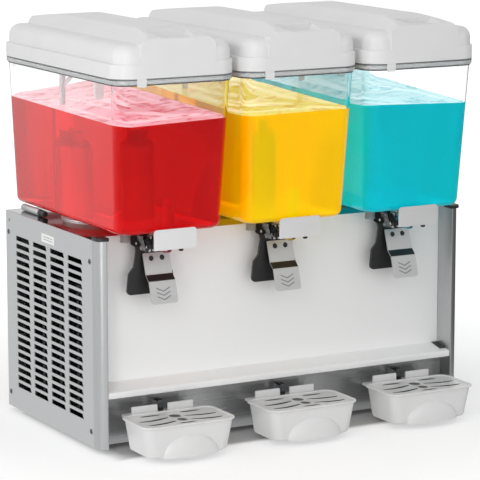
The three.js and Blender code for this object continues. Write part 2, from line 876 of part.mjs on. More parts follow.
// Inlet and switch housing: a flange outside the panel, a body through it and two pockets
function inletHousing() {
  const outside = cabinetDepth + seatGap;
  const face = outside + inletFlangeThickness;
  const flange = block(inletX - inletHalfWidth - inletFlange, inletX + inletHalfWidth + inletFlange,
    outside, face,
    inletZ - inletHalfHeight - inletFlange, inletZ + inletHalfHeight + inletFlange);
  const body = block(inletX - inletHalfWidth, inletX + inletHalfWidth,
    face - inletDepth, outside + weldOverlap,
    inletZ - inletHalfHeight, inletZ + inletHalfHeight);
  const socket = block(inletX - socketHalfWidth, inletX + socketHalfWidth, face - socketDepth,
    face + cutOverrun, inletZ + socketZ - socketHalfHeight, inletZ + socketZ + socketHalfHeight);
  const pocketWidth = rockerHalfWidth + rockerPlay;
  const pocketHeight = rockerHalfHeight + rockerPlay;
  const pocket = block(inletX - pocketWidth, inletX + pocketWidth, face - rockerPocket, face + cutOverrun,
    inletZ + rockerZ - pocketHeight, inletZ + rockerZ + pocketHeight);
  const pin = prism('x', circle(face - rockerDepth / 2, inletZ + rockerZ, rockerPinRadius, smallSides),
    inletX - pocketWidth - weldOverlap, inletX + pocketWidth + weldOverlap);
  return flange.add(body).subtract(socket).subtract(pocket).add(pin);
}

function rockerSwitch() {
  const face = cabinetDepth + seatGap + inletFlangeThickness;
  const middle = inletZ + rockerZ;
  const outline = [
    [face - rockerDepth, middle - rockerHalfHeight * rockerRootShare],
    [face + rockerRise, middle - rockerHalfHeight * rockerFaceShare],
    [face, middle],
    [face, middle + rockerHalfHeight * rockerFaceShare],
    [face - rockerDepth, middle + rockerHalfHeight * rockerRootShare],
  ];
  const body = prism('x', outline, inletX - rockerHalfWidth, inletX + rockerHalfWidth);
  const bore = prism('x', circle(face - rockerDepth / 2, middle, rockerPinRadius + inletPlay, smallSides),
    inletX - rockerHalfWidth - cutOverrun, inletX + rockerHalfWidth + cutOverrun);
  return body.subtract(bore);
}

function drainTube() {
  const z = cabinetTop + seatGap + drainRadius;
  return prism('y', circle(drainX, z, drainRadius, smallSides), drainFront, drainRear);
}

function drainCap() {
  const z = cabinetTop + seatGap + drainRadius;
  return prism('y', circle(drainX, z, drainRadius - drainCapShrink, smallSides),
    drainFront - seatGap - drainCapLength, drainFront - seatGap);
}

function buildInside(parent) {
  place(parent, 'compressor', compressor(), blackPaint);
  place(parent, 'condenser', condenser(), blackPaint);
  place(parent, 'fan_shroud', fanShroud(), zincSteel);
  place(parent, 'fan_motor', fanMotor(), zincSteel);
  place(parent, 'condenser_fan', fan(), blackPlastic);
  place(parent, 'inlet_housing', inletHousing(), blackPlastic);
  place(parent, 'rocker_switch', rockerSwitch(), blackPlastic);
  place(parent, 'drain_tube', drainTube(), brushedSteel);
  place(parent, 'drain_cap', drainCap(), blackPlastic);
}

// Tank, lid and cold drum

function tankRing(inset, z) {
  const share = (z - tankBottom) / (rimBottom - tankBottom);
  const half = blend(tankHalfBottom, tankHalfTop, share) - inset;
  const front = blend(tankFrontBottom, tankFrontTop, share) + inset;
  const rear = blend(tankRearBottom, tankRearTop, share) - inset;
  return vesselRing(half, front, rear, tankCorner - inset, z);
}

function tank() {
  const outer = loft([
    tankRing(tankFillet, tankBottom),
    tankRing(tankFillet * roundMiddleShare, tankBottom + tankFillet * roundRiseShare),
    tankRing(0, tankBottom + tankFillet),
    tankRing(0, rimBottom),
    tankRing(-tankRimFlange, rimBottom),
    tankRing(-tankRimFlange, tankRimTop),
  ]);
  const floor = tankBottom + tankWall;
  const inner = loft([
    tankRing(tankFillet + tankWall, floor),
    tankRing(tankFillet * roundMiddleShare + tankWall, floor + tankFillet * roundRiseShare),
    tankRing(tankWall, floor + tankFillet),
    tankRing(tankWall, tankRimTop + cutOverrun),
  ]);
  const drumHole = prism('z', circle(0, drumY, drumRadius + drumPlay), tankBottom - cutOverrun,
    floor + cutOverrun);
  const stemHole = prism('z', circle(0, stemY, stemRadius + stemPlay), tankBottom - cutOverrun,
    floor + cutOverrun);
  return outer.subtract(inner).subtract(drumHole).subtract(stemHole);
}

function lidRing(inset, z) {
  return vesselRing(lidHalfWidth - inset, lidFront + inset, lidRear - inset, lidCorner - inset, z);
}

// Side view of the raised spine: upright front, long crest and drooping ends
function spineProfile(bottom) {
  const front = lidFront;
  const rear = lidRear;
  const edge = lidBase + spineFrontHeight;
  const crest = lidBase + spineCrestHeight;
  return [
    [front, bottom],
    [rear, bottom],
    [rear, edge - lidShoulderRound],
    [rear - lidShoulderRound, edge],
    [rear - spineEndRun / 2, blend(edge, crest, spineDroopShare)],
    [rear - spineEndRun, crest],
    [front + spineEndRun, crest],
    [front + spineEndRun / 2, blend(edge, crest, spineDroopShare)],
    [front + sheet, edge],
    [front, edge - sheet],
  ];
}

// Front view of the spine: upright below the crown, then flanks that lean in to the crest
function spineSection(bottom) {
  const shoulder = lidBase + lidShoulder;
  const crest = lidBase + spineCrestHeight;
  return [
    [-spineHalfWidth, bottom],
    [spineHalfWidth, bottom],
    [spineHalfWidth, shoulder],
    [spineTopHalf, crest],
    [-spineTopHalf, crest],
    [-spineHalfWidth, shoulder],
  ];
}

function lid() {
  const bandTop = lidBase + lidBand;
  const shoulder = lidBase + lidShoulder;
  const band = loft([lidRing(0, lidBase), lidRing(0, bandTop)]);
  const crown = loft([
    lidRing(lidInset, bandTop - weldOverlap),
    lidRing(lidInset, shoulder - lidShoulderRound),
    lidRing(lidInset + lidShoulderRound * roundMiddleShare, shoulder - lidShoulderRound * roundMiddleShare),
    lidRing(lidInset + lidShoulderRound, shoulder),
  ]);
  const spineLength = prism('x', spineProfile(bandTop - weldOverlap), -spineHalfWidth, spineHalfWidth);
  const spineBreadth = prism('y', spineSection(bandTop - weldOverlap), lidFront, lidRear);
  const spine = spineLength.intersect(spineBreadth);
  const spigotInset = tankWall + lidSpigotPlay;
  const spigot = loft([
    tankRing(spigotInset, lidBase - lidSpigotDepth),
    tankRing(spigotInset, lidBase + weldOverlap),
  ]);
  const mouthInset = spigotInset + lidSpigotWall;
  const cavityInset = lidInset + lidWall;
  const cavity = loft([
    tankRing(mouthInset, lidBase - lidSpigotDepth - cutOverrun),
    tankRing(mouthInset, lidBase),
    lidRing(cavityInset, lidBase + lidWall),
    lidRing(cavityInset, shoulder - lidShoulderRound),
    lidRing(cavityInset + lidShoulderRound, shoulder - lidWall),
  ]);
  const hollowHalf = spineTopHalf + spineWall;
  const spineHollow = block(-hollowHalf, hollowHalf,
    lidFront + thumbLength + lidWall, lidRear - cavityInset - lidShoulderRound,
    shoulder - lidShoulderRound, lidBase + spineFrontHeight - lidWall);
  const body = joined([band, crown, spine, spigot]).subtract(cavity).subtract(spineHollow);
  return body.subtract(thumbRecess()).add(baffle());
}

// Shallow trapezoid in the top of the spine, open to the front
function thumbRecess() {
  const top = lidBase + spineCrestHeight + cutOverrun;
  const low = lidBase + spineFrontHeight - thumbDepth;
  const outline = [
    [-thumbHalfWidth, low],
    [thumbHalfWidth, low],
    [thumbHalfWidth + thumbSlope, top],
    [-thumbHalfWidth - thumbSlope, top],
  ];
  return prism('y', outline, lidFront - cutOverrun, lidFront + thumbLength);
}

// White tongue that hangs from the lid into the tank
function baffle() {
  const halfWidth = baffleWidth / 2;
  const halfDepth = baffleThickness / 2;
  return block(baffleX - halfWidth, baffleX + halfWidth, baffleY - halfDepth, baffleY + halfDepth,
    lidBase - baffleDrop, lidBase + lidShoulder - lidWall + weldOverlap);
}

// Stainless drum on the deck, hollow and open at the bottom
function drum() {
  const bottom = cabinetTop + seatGap;
  const inner = drumRadius - drumWall;
  const profile = [
    [inner, bottom],
    [drumRadius + drumFlange, bottom],
    [drumRadius + drumFlange, bottom + drumFlangeThickness],
    [drumRadius, bottom + drumFlangeThickness],
    [drumRadius, drumTop - drumDome],
    [drumRadius - drumDome, drumTop],
    [drumPegRadius, drumTop],
    [drumPegRadius, drumTop + drumPegHeight],
    [0, drumTop + drumPegHeight],
  ];
  const hollow = [
    [0, drumTop - drumWall],
    [inner - drumDome, drumTop - drumWall],
    [inner, drumTop - drumDome - drumWall],
    [inner, bottom],
  ];
  return turned([...hollow, ...profile], 0, drumY);
}

function sealRing() {
  const bottom = cabinetTop + seatGap + drumFlangeThickness + seatGap;
  const top = tankBottom - seatGap;
  const inner = drumRadius + sealPlay;
  const outer = inner + sealWidth;
  const profile = [[inner, bottom], [outer, bottom], [outer, top], [inner, top], [inner, bottom]];
  return turned(profile, 0, drumY);
}

function impeller() {
  const bottom = drumTop + seatGap;
  const top = bottom + impellerHeight;
  const hub = prism('z', circle(0, drumY, impellerHubRadius, smallSides), bottom, top);
  const pieces = [hub];
  for (let vane = 0; vane < impellerVanes; vane += 1) {
    const blade = block(impellerHubRadius - sheet, impellerReach, -impellerVane / 2, impellerVane / 2,
      bottom, top);
    pieces.push(blade.rotate([0, 0, (fullTurn * vane) / impellerVanes]).translate([0, drumY, 0]));
  }
  const bore = prism('z', circle(0, drumY, drumPegRadius + stemPlay, smallSides), bottom - cutOverrun,
    top + cutOverrun);
  return joined(pieces).subtract(bore);
}

// Clear riser beside the drum with a forked top
function sprayTube() {
  const bottom = tankBottom + tankWall + seatGap;
  const footCircle = circle(sprayX, drumY, sprayFootRadius, smallSides);
  const footDisc = prism('z', footCircle, bottom, bottom + sprayFootHeight);
  const riser = prism('z', circle(sprayX, drumY, sprayRadius, smallSides), bottom, sprayTop);
  const arm = tube([
    [sprayX, drumY, sprayForkHeight],
    [sprayX + sprayReach / 2, drumY - sprayReach / 2, blend(sprayForkHeight, sprayTop, sprayArmShare)],
    [sprayX + sprayReach, drumY - sprayReach, sprayTop],
  ], sprayRadius * sprayArmShare, smallSides);
  return joined([footDisc, riser, arm]);
}

// Valve, lever and push plate

function spoutBody() {
  const profile = [
    [0, nozzleBottom],
    [nozzleTipRadius, nozzleBottom],
    [nozzleTipRadius, nozzleTop],
    [nozzleRadius, nozzleTop],
    [funnelRadius, valveFlangeBottom],
    [valveFlangeRadius, valveFlangeBottom],
    [valveFlangeRadius, valveTop],
    [stemRadius, valveTop],
    [stemRadius, stemTop],
    [0, stemTop],
  ];
  const funnel = turned(profile, 0, stemY);
  const boss = block(-bossHalfWidth, bossHalfWidth, coverY + sheet + seatGap, stemY,
    valveFlangeBottom - bossHeight, valveFlangeBottom);
  const left = leverX - barrelHalfLength - seatGap;
  const right = leverX + barrelHalfLength + seatGap;
  const rear = pivotY + barrelRadius;
  const bridge = block(left - earThickness, right + earThickness, earFront, rear,
    valveFlangeBottom - bridgeHeight, valveFlangeBottom);
  const earLeft = block(left - earThickness, left, earFront, rear, earBottom, valveFlangeBottom);
  const earRight = block(right, right + earThickness, earFront, rear, earBottom, valveFlangeBottom);
  const pinCircle = circle(pivotY, pivotZ, pinRadius, smallSides);
  const pin = prism('x', pinCircle, left - weldOverlap, right + weldOverlap);
  return joined([funnel, boss, bridge, earLeft, earRight, pin]);
}

// Brushed plate in front of the valve, its lower edge turned under
function spoutCover() {
  const outline = [
    [-coverHalfWidth, coverBottom],
    [coverHalfWidth, coverBottom],
    ...arc(coverHalfWidth - coverCorner, coverTop - coverCorner, coverCorner, 0, Math.PI / 2, cornerSteps),
    ...arc(coverCorner - coverHalfWidth, coverTop - coverCorner, coverCorner, Math.PI / 2, Math.PI,
      cornerSteps),
  ];
  const plate = prism('y', outline, coverY, coverY + sheet);
  const under = block(-coverHalfWidth, coverHalfWidth, coverY, coverY + coverReturn,
    coverBottom, coverBottom + sheet);
  return plate.add(under);
}

function leverOutline() {
  const half = [
    [barrelHalfLength, leverYoke],
    [leverHalfNeck, leverNeck],
    [leverHalfWaist, leverWaist],
    [leverHalfShoulder, leverShoulder],
    [leverHalfBottom, leverBottom + leverCorner],
    [leverHalfBottom - leverCorner, leverBottom],
  ];
  const right = half.map(([x, z]) => [leverX + x, z]).reverse();
  const left = half.map(([x, z]) => [leverX - x, z]);
  return [...right, ...left];
}

function lever() {
  const tilt = Math.atan2(leverTopY - leverBottomY, leverYoke - leverBottom);
  const flat = prism('y', leverOutline(), -leverThickness / 2, leverThickness / 2);
  const paddle = flat
    .translate([0, 0, -leverYoke])
    .rotate([-THREE.MathUtils.radToDeg(tilt), 0, 0])
    .translate([0, leverTopY, leverYoke]);
  const barrel = prism('x', circle(pivotY, pivotZ, barrelRadius, smallSides), leverX - barrelHalfLength,
    leverX + barrelHalfLength);
  const neckRoot = block(leverX - barrelHalfLength, leverX + barrelHalfLength,
    leverTopY - leverThickness / 2, leverTopY + weldOverlap, leverYoke - leverThickness, pivotZ);
  const bore = prism('x', circle(pivotY, pivotZ, pinRadius + pinPlay, smallSides),
    leverX - barrelHalfLength - cutOverrun, leverX + barrelHalfLength + cutOverrun);
  return joined([paddle, neckRoot, barrel, ...studs()]).subtract(bore);
}

// Studs that carry the push plate, with a collar behind it and a tip through it
function studs() {
  const plateFront = plateYAt(studZ);
  const collarFront = plateFront + plateThickness + seatGap + studHead;
  return [-studSpread, studSpread].map((offset) => {
    const x = plateX + offset;
    const collarCircle = circle(x, studZ, studRadius + studHead, smallSides);
    const tipCircle = circle(x, studZ, studRadius, smallSides);
    const collar = prism('y', collarCircle, collarFront, leverYAt(studZ));
    const tip = prism('y', tipCircle, plateFront - studHead, collarFront + weldOverlap);
    return collar.add(tip);
  });
}

function leverYAt(z) {
  const share = (leverYoke - z) / (leverYoke - leverBottom);
  return blend(leverTopY, leverBottomY, share);
}

function plateYAt(z) {
  const share = (plateTop - z) / (plateTop - plateBend);
  return blend(plateTopY, plateBendY, share);
}

// Z-bent steel plate
function pushPlate() {
  const front = [
    [plateTopY, plateTop],
    [plateBendY, plateBend],
    [plateStepY, plateStep],
    [plateBottomY, plateBottom],
  ];
  const back = front.map(([y, z]) => [y + plateThickness, z]).reverse();
  const bent = prism('x', [...front, ...back], plateX - plateHalfWidth, plateX + plateHalfWidth);
  const holes = [-studSpread, studSpread].map((offset) => prism('y',
    circle(plateX + offset, studZ, studRadius + studPlay, smallSides),
    plateBottomY, leverTopY));
  const face = roundedRectangle(plateX - plateHalfWidth, plateX + plateHalfWidth, plateBottom, plateTop,
    plateCorner);
  const trim = prism('y', face, plateBottomY - cutOverrun, plateTopY + cutOverrun + plateThickness);
  return bent.intersect(trim).subtract(joined(holes));
}

// Drip tray and grid

function trayRing(inset, z) {
  const share = (z - trayBottom) / (trayRimTop - trayBottom);
  const half = blend(trayHalfBottom, trayHalfTop, share) - inset;
  const front = blend(trayFrontBottom, trayFrontTop, share) + inset;
  const rear = blend(trayRearBottom, trayRearTop, share) - inset;
  return vesselRing(half, front, rear, trayCorner - inset, z);
}

function dripTray() {
  const outer = loft([trayRing(0, trayBottom), trayRing(0, trayRimTop)]);
  const rimLow = trayRimTop - trayRimHeight;
  const rim = loft([trayRing(-trayRimFlange, rimLow), trayRing(-trayRimFlange, trayRimTop)]);
  const inner = loft([
    trayRing(trayWall, trayBottom + trayWall),
    trayRing(trayWall, trayRimTop + cutOverrun),
  ]);
  const shelfTop = shelfBottom + shelfThickness;
  const shelf = block(-shelfHalfWidth, shelfHalfWidth, trayRearBottom, lowerRecess - seatGap,
    shelfBottom, shelfTop);
  const tabs = [-1, 1].map((side) => {
    const near = Math.min(side * tabInner, side * tabOuter);
    const far = Math.max(side * tabInner, side * tabOuter);
    return block(near, far, tabFront, tabFront + tabThickness, shelfTop - weldOverlap, tabTop);
  });
  return joined([outer, rim, archBulge(), shelf, ...tabs]).subtract(inner);
}

// Half-ellipse bulge on the lower front of the tray
function archBulge() {
  const ball = new THREE.SphereGeometry(1, roundSides, smallSides);
  ball.rotateX(Math.PI / 2);
  ball.scale(archHalfWidth, archReach, archHeight);
  ball.translate(0, trayFrontBottom, trayBottom);
  const keep = block(-archHalfWidth - cutOverrun, archHalfWidth + cutOverrun,
    trayFrontBottom - archReach - cutOverrun, trayFrontBottom + archReach + cutOverrun,
    trayBottom, trayBottom + archHeight + cutOverrun);
  return toSolid(ball).intersect(keep);
}

function oval(x, y, halfWidth, halfDepth) {
  return circle(0, 0, 1, smallSides).map(([a, b]) => [x + a * halfWidth, y + b * halfDepth]);
}

// A slot that bows forwards on its way out from an oval
function sweptSlot(side, startX, y) {
  const sweep = (share) => slotFall * Math.sin((share * slotBow * Math.PI) / 180);
  const rear = [];
  const front = [];
  for (let i = 0; i <= slotSteps; i += 1) {
    const share = i / slotSteps;
    const x = side * (startX + sweptSlotLength * share);
    const half = (slotWidth / 2) * blend(slotTipShare, 1, Math.sin(share * Math.PI));
    rear.push([x, y - sweep(share) + half]);
    front.push([x, y - sweep(share) - half]);
  }
  return [...front, ...rear.reverse()];
}

function gridHoles() {
  const rearStart = ovalRearWidth + slotGap;
  const frontStart = ovalFrontWidth + slotGap;
  const rearSlotY = ovalRearY - slotStartDrop;
  const frontSlotY = ovalFrontY - slotStartDrop;
  return [
    oval(0, ovalRearY, ovalRearWidth, ovalRearDepth),
    oval(0, ovalFrontY, ovalFrontWidth, ovalFrontDepth),
    sweptSlot(1, rearStart, rearSlotY),
    sweptSlot(-1, rearStart, rearSlotY),
    sweptSlot(1, frontStart, frontSlotY),
    sweptSlot(-1, frontStart, frontSlotY),
    oval(tailSlotX, tailSlotY, tailSlotHalf, tailSlotHalfDepth),
    oval(-tailSlotX, tailSlotY, tailSlotHalf, tailSlotHalfDepth),
    oval(0, noseSlotY, noseSlotHalf, noseSlotHalfDepth),
  ];
}

function trayGrid() {
  const bottom = gridTop - gridThickness;
  const ring = trayRing(trayWall + gridPlay, bottom).map(([x, y]) => [x, y]);
  return pierced('z', ring, bottom, gridTop, gridHoles());
}

function buildStation(station) {
  const group = new THREE.Group();
  group.position.x = stationX(station);
  const tag = `_${station + 1}`;
  place(group, `tank${tag}`, tank(), clearPlastic);
  place(group, `lid${tag}`, lid(), whitePlastic);
  place(group, `cold_drum${tag}`, drum(), brushedSteel);
  place(group, `seal_ring${tag}`, sealRing(), sealRubber);
  place(group, `impeller${tag}`, impeller(), whitePlastic);
  place(group, `spray_tube${tag}`, sprayTube(), clearPlastic);
  place(group, `spout_body${tag}`, spoutBody(), clearPlastic);
  place(group, `spout_cover${tag}`, spoutCover(), brushedSteel);
  place(group, `lever${tag}`, lever(), blackPlastic);
  place(group, `push_plate${tag}`, pushPlate(), brushedSteel);
  place(group, `drip_tray${tag}`, dripTray(), whitePlastic);
  place(group, `tray_grid${tag}`, trayGrid(), greyPlastic);
  return group;
}

buildCabinet(machine);
buildInside(machine);
for (let station = 0; station < stationCount; station += 1) {
  machine.add(buildStation(station));
}

// The origin is the middle of the footprint, from the tray bulges to the rear of the lids
const frontmost = trayFrontBottom - archReach;
machine.position.y = -(frontmost + lidRear) / 2;

export default machine;
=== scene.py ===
# %% [markdown]
# # A three-tank juice dispenser
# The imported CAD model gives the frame: every solid, the bodies that move and their joints.
# This lesson dresses that frame. Each piece is built in millimetres from the same sizes as the
# solids, then turned to metres, so nothing has to be fitted by eye. We start by loading the frame.

# %% Load the frame
import math
import bpy
import bmesh
from mathutils import Matrix, Vector


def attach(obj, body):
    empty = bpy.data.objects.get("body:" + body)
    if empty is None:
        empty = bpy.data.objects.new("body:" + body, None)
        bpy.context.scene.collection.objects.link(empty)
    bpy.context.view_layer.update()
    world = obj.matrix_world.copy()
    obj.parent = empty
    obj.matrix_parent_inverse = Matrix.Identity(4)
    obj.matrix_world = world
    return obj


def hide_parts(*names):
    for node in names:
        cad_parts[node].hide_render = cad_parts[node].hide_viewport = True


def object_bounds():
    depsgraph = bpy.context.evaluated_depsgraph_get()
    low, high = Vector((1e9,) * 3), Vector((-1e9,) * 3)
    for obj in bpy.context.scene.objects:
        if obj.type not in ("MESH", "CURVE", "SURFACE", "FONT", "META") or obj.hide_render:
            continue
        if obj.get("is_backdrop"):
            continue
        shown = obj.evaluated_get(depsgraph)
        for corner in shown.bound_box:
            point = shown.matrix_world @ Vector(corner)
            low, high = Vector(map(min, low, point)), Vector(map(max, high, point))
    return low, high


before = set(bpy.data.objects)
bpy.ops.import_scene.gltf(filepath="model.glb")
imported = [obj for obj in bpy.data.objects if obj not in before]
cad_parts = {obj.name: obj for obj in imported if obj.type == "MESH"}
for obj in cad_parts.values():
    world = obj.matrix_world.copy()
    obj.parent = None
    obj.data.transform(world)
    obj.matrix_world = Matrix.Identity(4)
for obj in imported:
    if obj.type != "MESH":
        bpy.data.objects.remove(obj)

cad_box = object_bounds()

# %% [markdown]
# ## Units and places
# The real machine is described in millimetres, with y = 0 on the front of the cabinet's pillars and
# x = 0 in its middle. The frame is in metres around the middle of the footprint. One small function
# turns the first into the second, so that the rest of the lesson can read like a drawing. The three
# tanks and what belongs to them are drawn once, round x = 0, and copied to three stations.

# %% Units and stations
MM = 0.001
ROW_SHIFT = -128.5
STATION_PITCH = 210.0
STATIONS = {1: -STATION_PITCH, 2: 0.0, 3: STATION_PITCH}


def at(x, y, z):
    """A point of the drawing, in metres in the frame."""
    return Vector((x, y + ROW_SHIFT, z)) * MM


print("front of the lids is at", round(at(0, -55, 0).y, 4), "m")

# %% [markdown]
# ## Camera
# The photograph is a catalogue picture, taken with a long lens from the left and a little above. The
# camera's place and lens were worked out from the cabinet's straight edges. Clear tanks in front of
# one another need many bounces, or their far walls turn black.

# %% Camera
SENSOR = 36.0
LENS = 190.95
YAW = math.radians(28.97)
PITCH = math.radians(10.19)
CAMERA_PLACE = (-1.895, -3.4075, 0.977)
FARTHEST = 100
BOUNCES = 24

camera_data = bpy.data.cameras.new("camera")
camera_data.sensor_width = SENSOR
camera_data.lens = LENS
camera_data.clip_end = FARTHEST
camera = bpy.data.objects.new("camera", camera_data)
camera.location = CAMERA_PLACE
gaze = Vector((math.sin(YAW) * math.cos(PITCH), math.cos(YAW) * math.cos(PITCH), -math.sin(PITCH)))
camera.rotation_mode = "QUATERNION"
camera.rotation_quaternion = gaze.to_track_quat("-Z", "Y")
scene = bpy.context.scene
scene.collection.objects.link(camera)
scene.camera = camera
scene.view_settings.view_transform = "Standard"
scene.cycles.max_bounces = BOUNCES
scene.cycles.transmission_bounces = BOUNCES
scene.cycles.transparent_max_bounces = BOUNCES
print("camera at", tuple(camera.location))


# %% [markdown]
# ## Helpers for materials
# Colours are written as the hex values that a designer reads off a screen, and one function turns
# them to the linear values that Cycles wants. `add_node` adds any node with its settings and links.
# Patterns are laid out in millimetres over Object coordinates, so they keep their real size.

# %% Colour and node helpers
def colour(code):
    """A hex colour such as "c8c8c8" as linear RGBA."""
    parts = [int(code[i:i + 2], 16) / 255 for i in (0, 2, 4)]
    return [c / 12.92 if c <= 0.04045 else ((c + 0.055) / 1.055) ** 2.4 for c in parts] + [1.0]


def add_node(tree, kind, settings=None, links=None):
    """Adds a node. A setting is one of its own properties or the value of an input."""
    node = tree.nodes.new(kind)
    for key, value in (settings or {}).items():
        if isinstance(key, int) or key in node.inputs:
            node.inputs[key].default_value = value
        else:
            setattr(node, key, value)
    for key, socket in (links or {}).items():
        tree.links.new(socket, node.inputs[key])
    return node


def new_finish(name, code, metallic, roughness, **constants):
    """A material with one Principled shader, whose constants sit on its own sockets."""
    finish = bpy.data.materials.new(name)
    finish.use_nodes = True
    tree = finish.node_tree
    tree.nodes.clear()
    values = {"Base Color": colour(code), "Metallic": metallic, "Roughness": roughness}
    values.update({key.replace("_", " "): value for key, value in constants.items()})
    shader = add_node(tree, "ShaderNodeBsdfPrincipled", values)
    add_node(tree, "ShaderNodeOutputMaterial", links={"Surface": shader.outputs["BSDF"]})
    return finish, tree, shader


def object_place(tree, size_mm):
    """Object coordinates scaled so that one unit is size_mm along x, y and z."""
    own_place = add_node(tree, "ShaderNodeTexCoord").outputs["Object"]
    scale = [1 / (s * MM) for s in size_mm]
    return add_node(tree, "ShaderNodeMapping", {"Scale": scale}, {"Vector": own_place}).outputs[0]


def drive(tree, shader, socket, source, low, high):
    """Lets a pattern from 0 to 1 move one value of the shader between low and high."""
    share = add_node(tree, "ShaderNodeMapRange", {"To Min": low, "To Max": high}, {"Value": source})
    tree.links.new(share.outputs[0], shader.inputs[socket])


def emboss(tree, shader, source, strength, distance_mm=0.2):
    """Lets a pattern raise the surface a little."""
    bump = add_node(tree, "ShaderNodeBump", {"Strength": strength, "Distance": distance_mm * MM},
                    {"Height": source})
    tree.links.new(bump.outputs[0], shader.inputs["Normal"])


print("a light grey is", [round(c, 3) for c in colour("c8c8c8")])

# %% [markdown]
# ## Soft light and a white page
# The world is white for what looks at it straight or through clear plastic, and dimmer as a light, so
# that colours render as they are written. What the steel and the clear walls mirror is a studio: a
# white wall behind and at the left, dimmer towards the front and the right.

# %% World
WORLD_LIGHT = 0.5
STUDIO_SIDE = (-0.75, 0.55, 0.36)
STUDIO_SHADES = {"From Min": -0.7, "From Max": 0.75, "To Min": 0.65, "To Max": 1.0}
WHITE = colour("ffffff")


def seen_share(tree):
    """1 for rays that look straight or through clear plastic, and 0 for the others."""
    path = add_node(tree, "ShaderNodeLightPath")
    both = add_node(tree, "ShaderNodeMath", {"operation": "MAXIMUM"},
                    {0: path.outputs["Is Camera Ray"], 1: path.outputs["Is Transmission Ray"]})
    return both.outputs[0]


def mirrored_share(tree):
    """1 for rays that leave a mirror, and 0 for the others."""
    return add_node(tree, "ShaderNodeLightPath").outputs["Is Glossy Ray"]


def by_ray(tree, as_light, as_mirrored, as_seen):
    """One shader for light, one for mirrors and one for the eye."""
    unseen = add_node(tree, "ShaderNodeMixShader", links={
        0: mirrored_share(tree), 1: as_light.outputs[0], 2: as_mirrored.outputs[0]})
    mixed = add_node(tree, "ShaderNodeMixShader", links={
        0: seen_share(tree), 1: unseen.outputs[0], 2: as_seen.outputs[0]})
    return mixed.outputs[0]


world = bpy.data.worlds.new("sweep")
scene.world = world
world.use_nodes = True
sky = world.node_tree
sky.nodes.clear()
plain_light = add_node(sky, "ShaderNodeBackground", {"Color": WHITE, "Strength": WORLD_LIGHT})
white_page = add_node(sky, "ShaderNodeBackground", {"Color": WHITE, "Strength": 1.0})
heading = add_node(sky, "ShaderNodeTexCoord")
towards = add_node(sky, "ShaderNodeVectorMath", {"operation": "DOT_PRODUCT", 1: STUDIO_SIDE},
                   {0: heading.outputs["Generated"]})
studio = add_node(sky, "ShaderNodeMapRange", STUDIO_SHADES, {"Value": towards.outputs["Value"]})
studio_wall = add_node(sky, "ShaderNodeBackground", {"Color": WHITE}, {"Strength": studio.outputs[0]})
add_node(sky, "ShaderNodeOutputWorld", links={"Surface": by_ray(sky, plain_light, studio_wall, white_page)})
print("studio's bright side:", STUDIO_SIDE)

# %% [markdown]
# ## White floor
# The floor takes the object's shadow, yet it has to be as white as the page. So part of its
# brightness is its own, only for rays that look at it: less close by, where the soft shadow lies, and
# almost none under the cabinet, where no light gets in. The steel mirrors a floor of another kind,
# bright at the left and dim at the right, as a floor is between a window and a dark wall.

# %% Floor
FLOOR_SPAN = 40.0
GATHER_GREY = "f0f0f0"
SHADED_GREY = "c8c8c8"
MIRRORED_GREY = "464646"
NEAR_TO_FAR = {"From Min": 0.4, "From Max": 1.3, "To Min": 0.5, "To Max": 0.8}
UNDER_HALF = (0.312, 0.17)
UNDER_EDGE = {"From Min": 0.9, "From Max": 1.0, "To Min": 0.05}
DIM_SIDE = (1.0, 0.25, 0.0)
BRIGHT_TO_DIM = {"From Min": -0.2, "From Max": 0.8, "To Min": 0.95, "To Max": 0.08}

floor_finish = bpy.data.materials.new("white_sweep")
floor_finish.use_nodes = True
ground = floor_finish.node_tree
ground.nodes.clear()
spot = add_node(ground, "ShaderNodeTexCoord").outputs["Object"]


def diffuse_and_glow(code, strength):
    """A matt paper with light of its own."""
    paper = add_node(ground, "ShaderNodeBsdfDiffuse", {"Color": colour(code)})
    glow = add_node(ground, "ShaderNodeEmission", {"Color": WHITE}, {"Strength": strength})
    return add_node(ground, "ShaderNodeAddShader", links={0: paper.outputs[0], 1: glow.outputs[0]})


away = add_node(ground, "ShaderNodeVectorMath", {"operation": "LENGTH"}, {0: spot})
rising = add_node(ground, "ShaderNodeMapRange", NEAR_TO_FAR, {"Value": away.outputs["Value"]})
spot_parts = add_node(ground, "ShaderNodeSeparateXYZ", links={"Vector": spot})
reaches = []
for part, half in enumerate(UNDER_HALF):
    apart = add_node(ground, "ShaderNodeMath", {"operation": "ABSOLUTE"}, {0: spot_parts.outputs[part]})
    reach = add_node(ground, "ShaderNodeMath", {"operation": "DIVIDE", 1: half}, {0: apart.outputs[0]})
    reaches.append(reach.outputs[0])
outside = add_node(ground, "ShaderNodeMath", {"operation": "MAXIMUM"}, {0: reaches[0], 1: reaches[1]})
open_air = add_node(ground, "ShaderNodeMapRange", UNDER_EDGE, {"Value": outside.outputs[0]})
seen_glow = add_node(ground, "ShaderNodeMath", {"operation": "MULTIPLY"},
                     {0: rising.outputs[0], 1: open_air.outputs[0]})
across = add_node(ground, "ShaderNodeVectorMath", {"operation": "DOT_PRODUCT", 1: DIM_SIDE}, {0: spot})
fading = add_node(ground, "ShaderNodeMapRange", BRIGHT_TO_DIM, {"Value": across.outputs["Value"]})
gathering = add_node(ground, "ShaderNodeBsdfDiffuse", {"Color": colour(GATHER_GREY)})
floor_surface = by_ray(ground, gathering, diffuse_and_glow(MIRRORED_GREY, fading.outputs[0]),
                       diffuse_and_glow(SHADED_GREY, seen_glow.outputs[0]))
add_node(ground, "ShaderNodeOutputMaterial", links={"Surface": floor_surface})

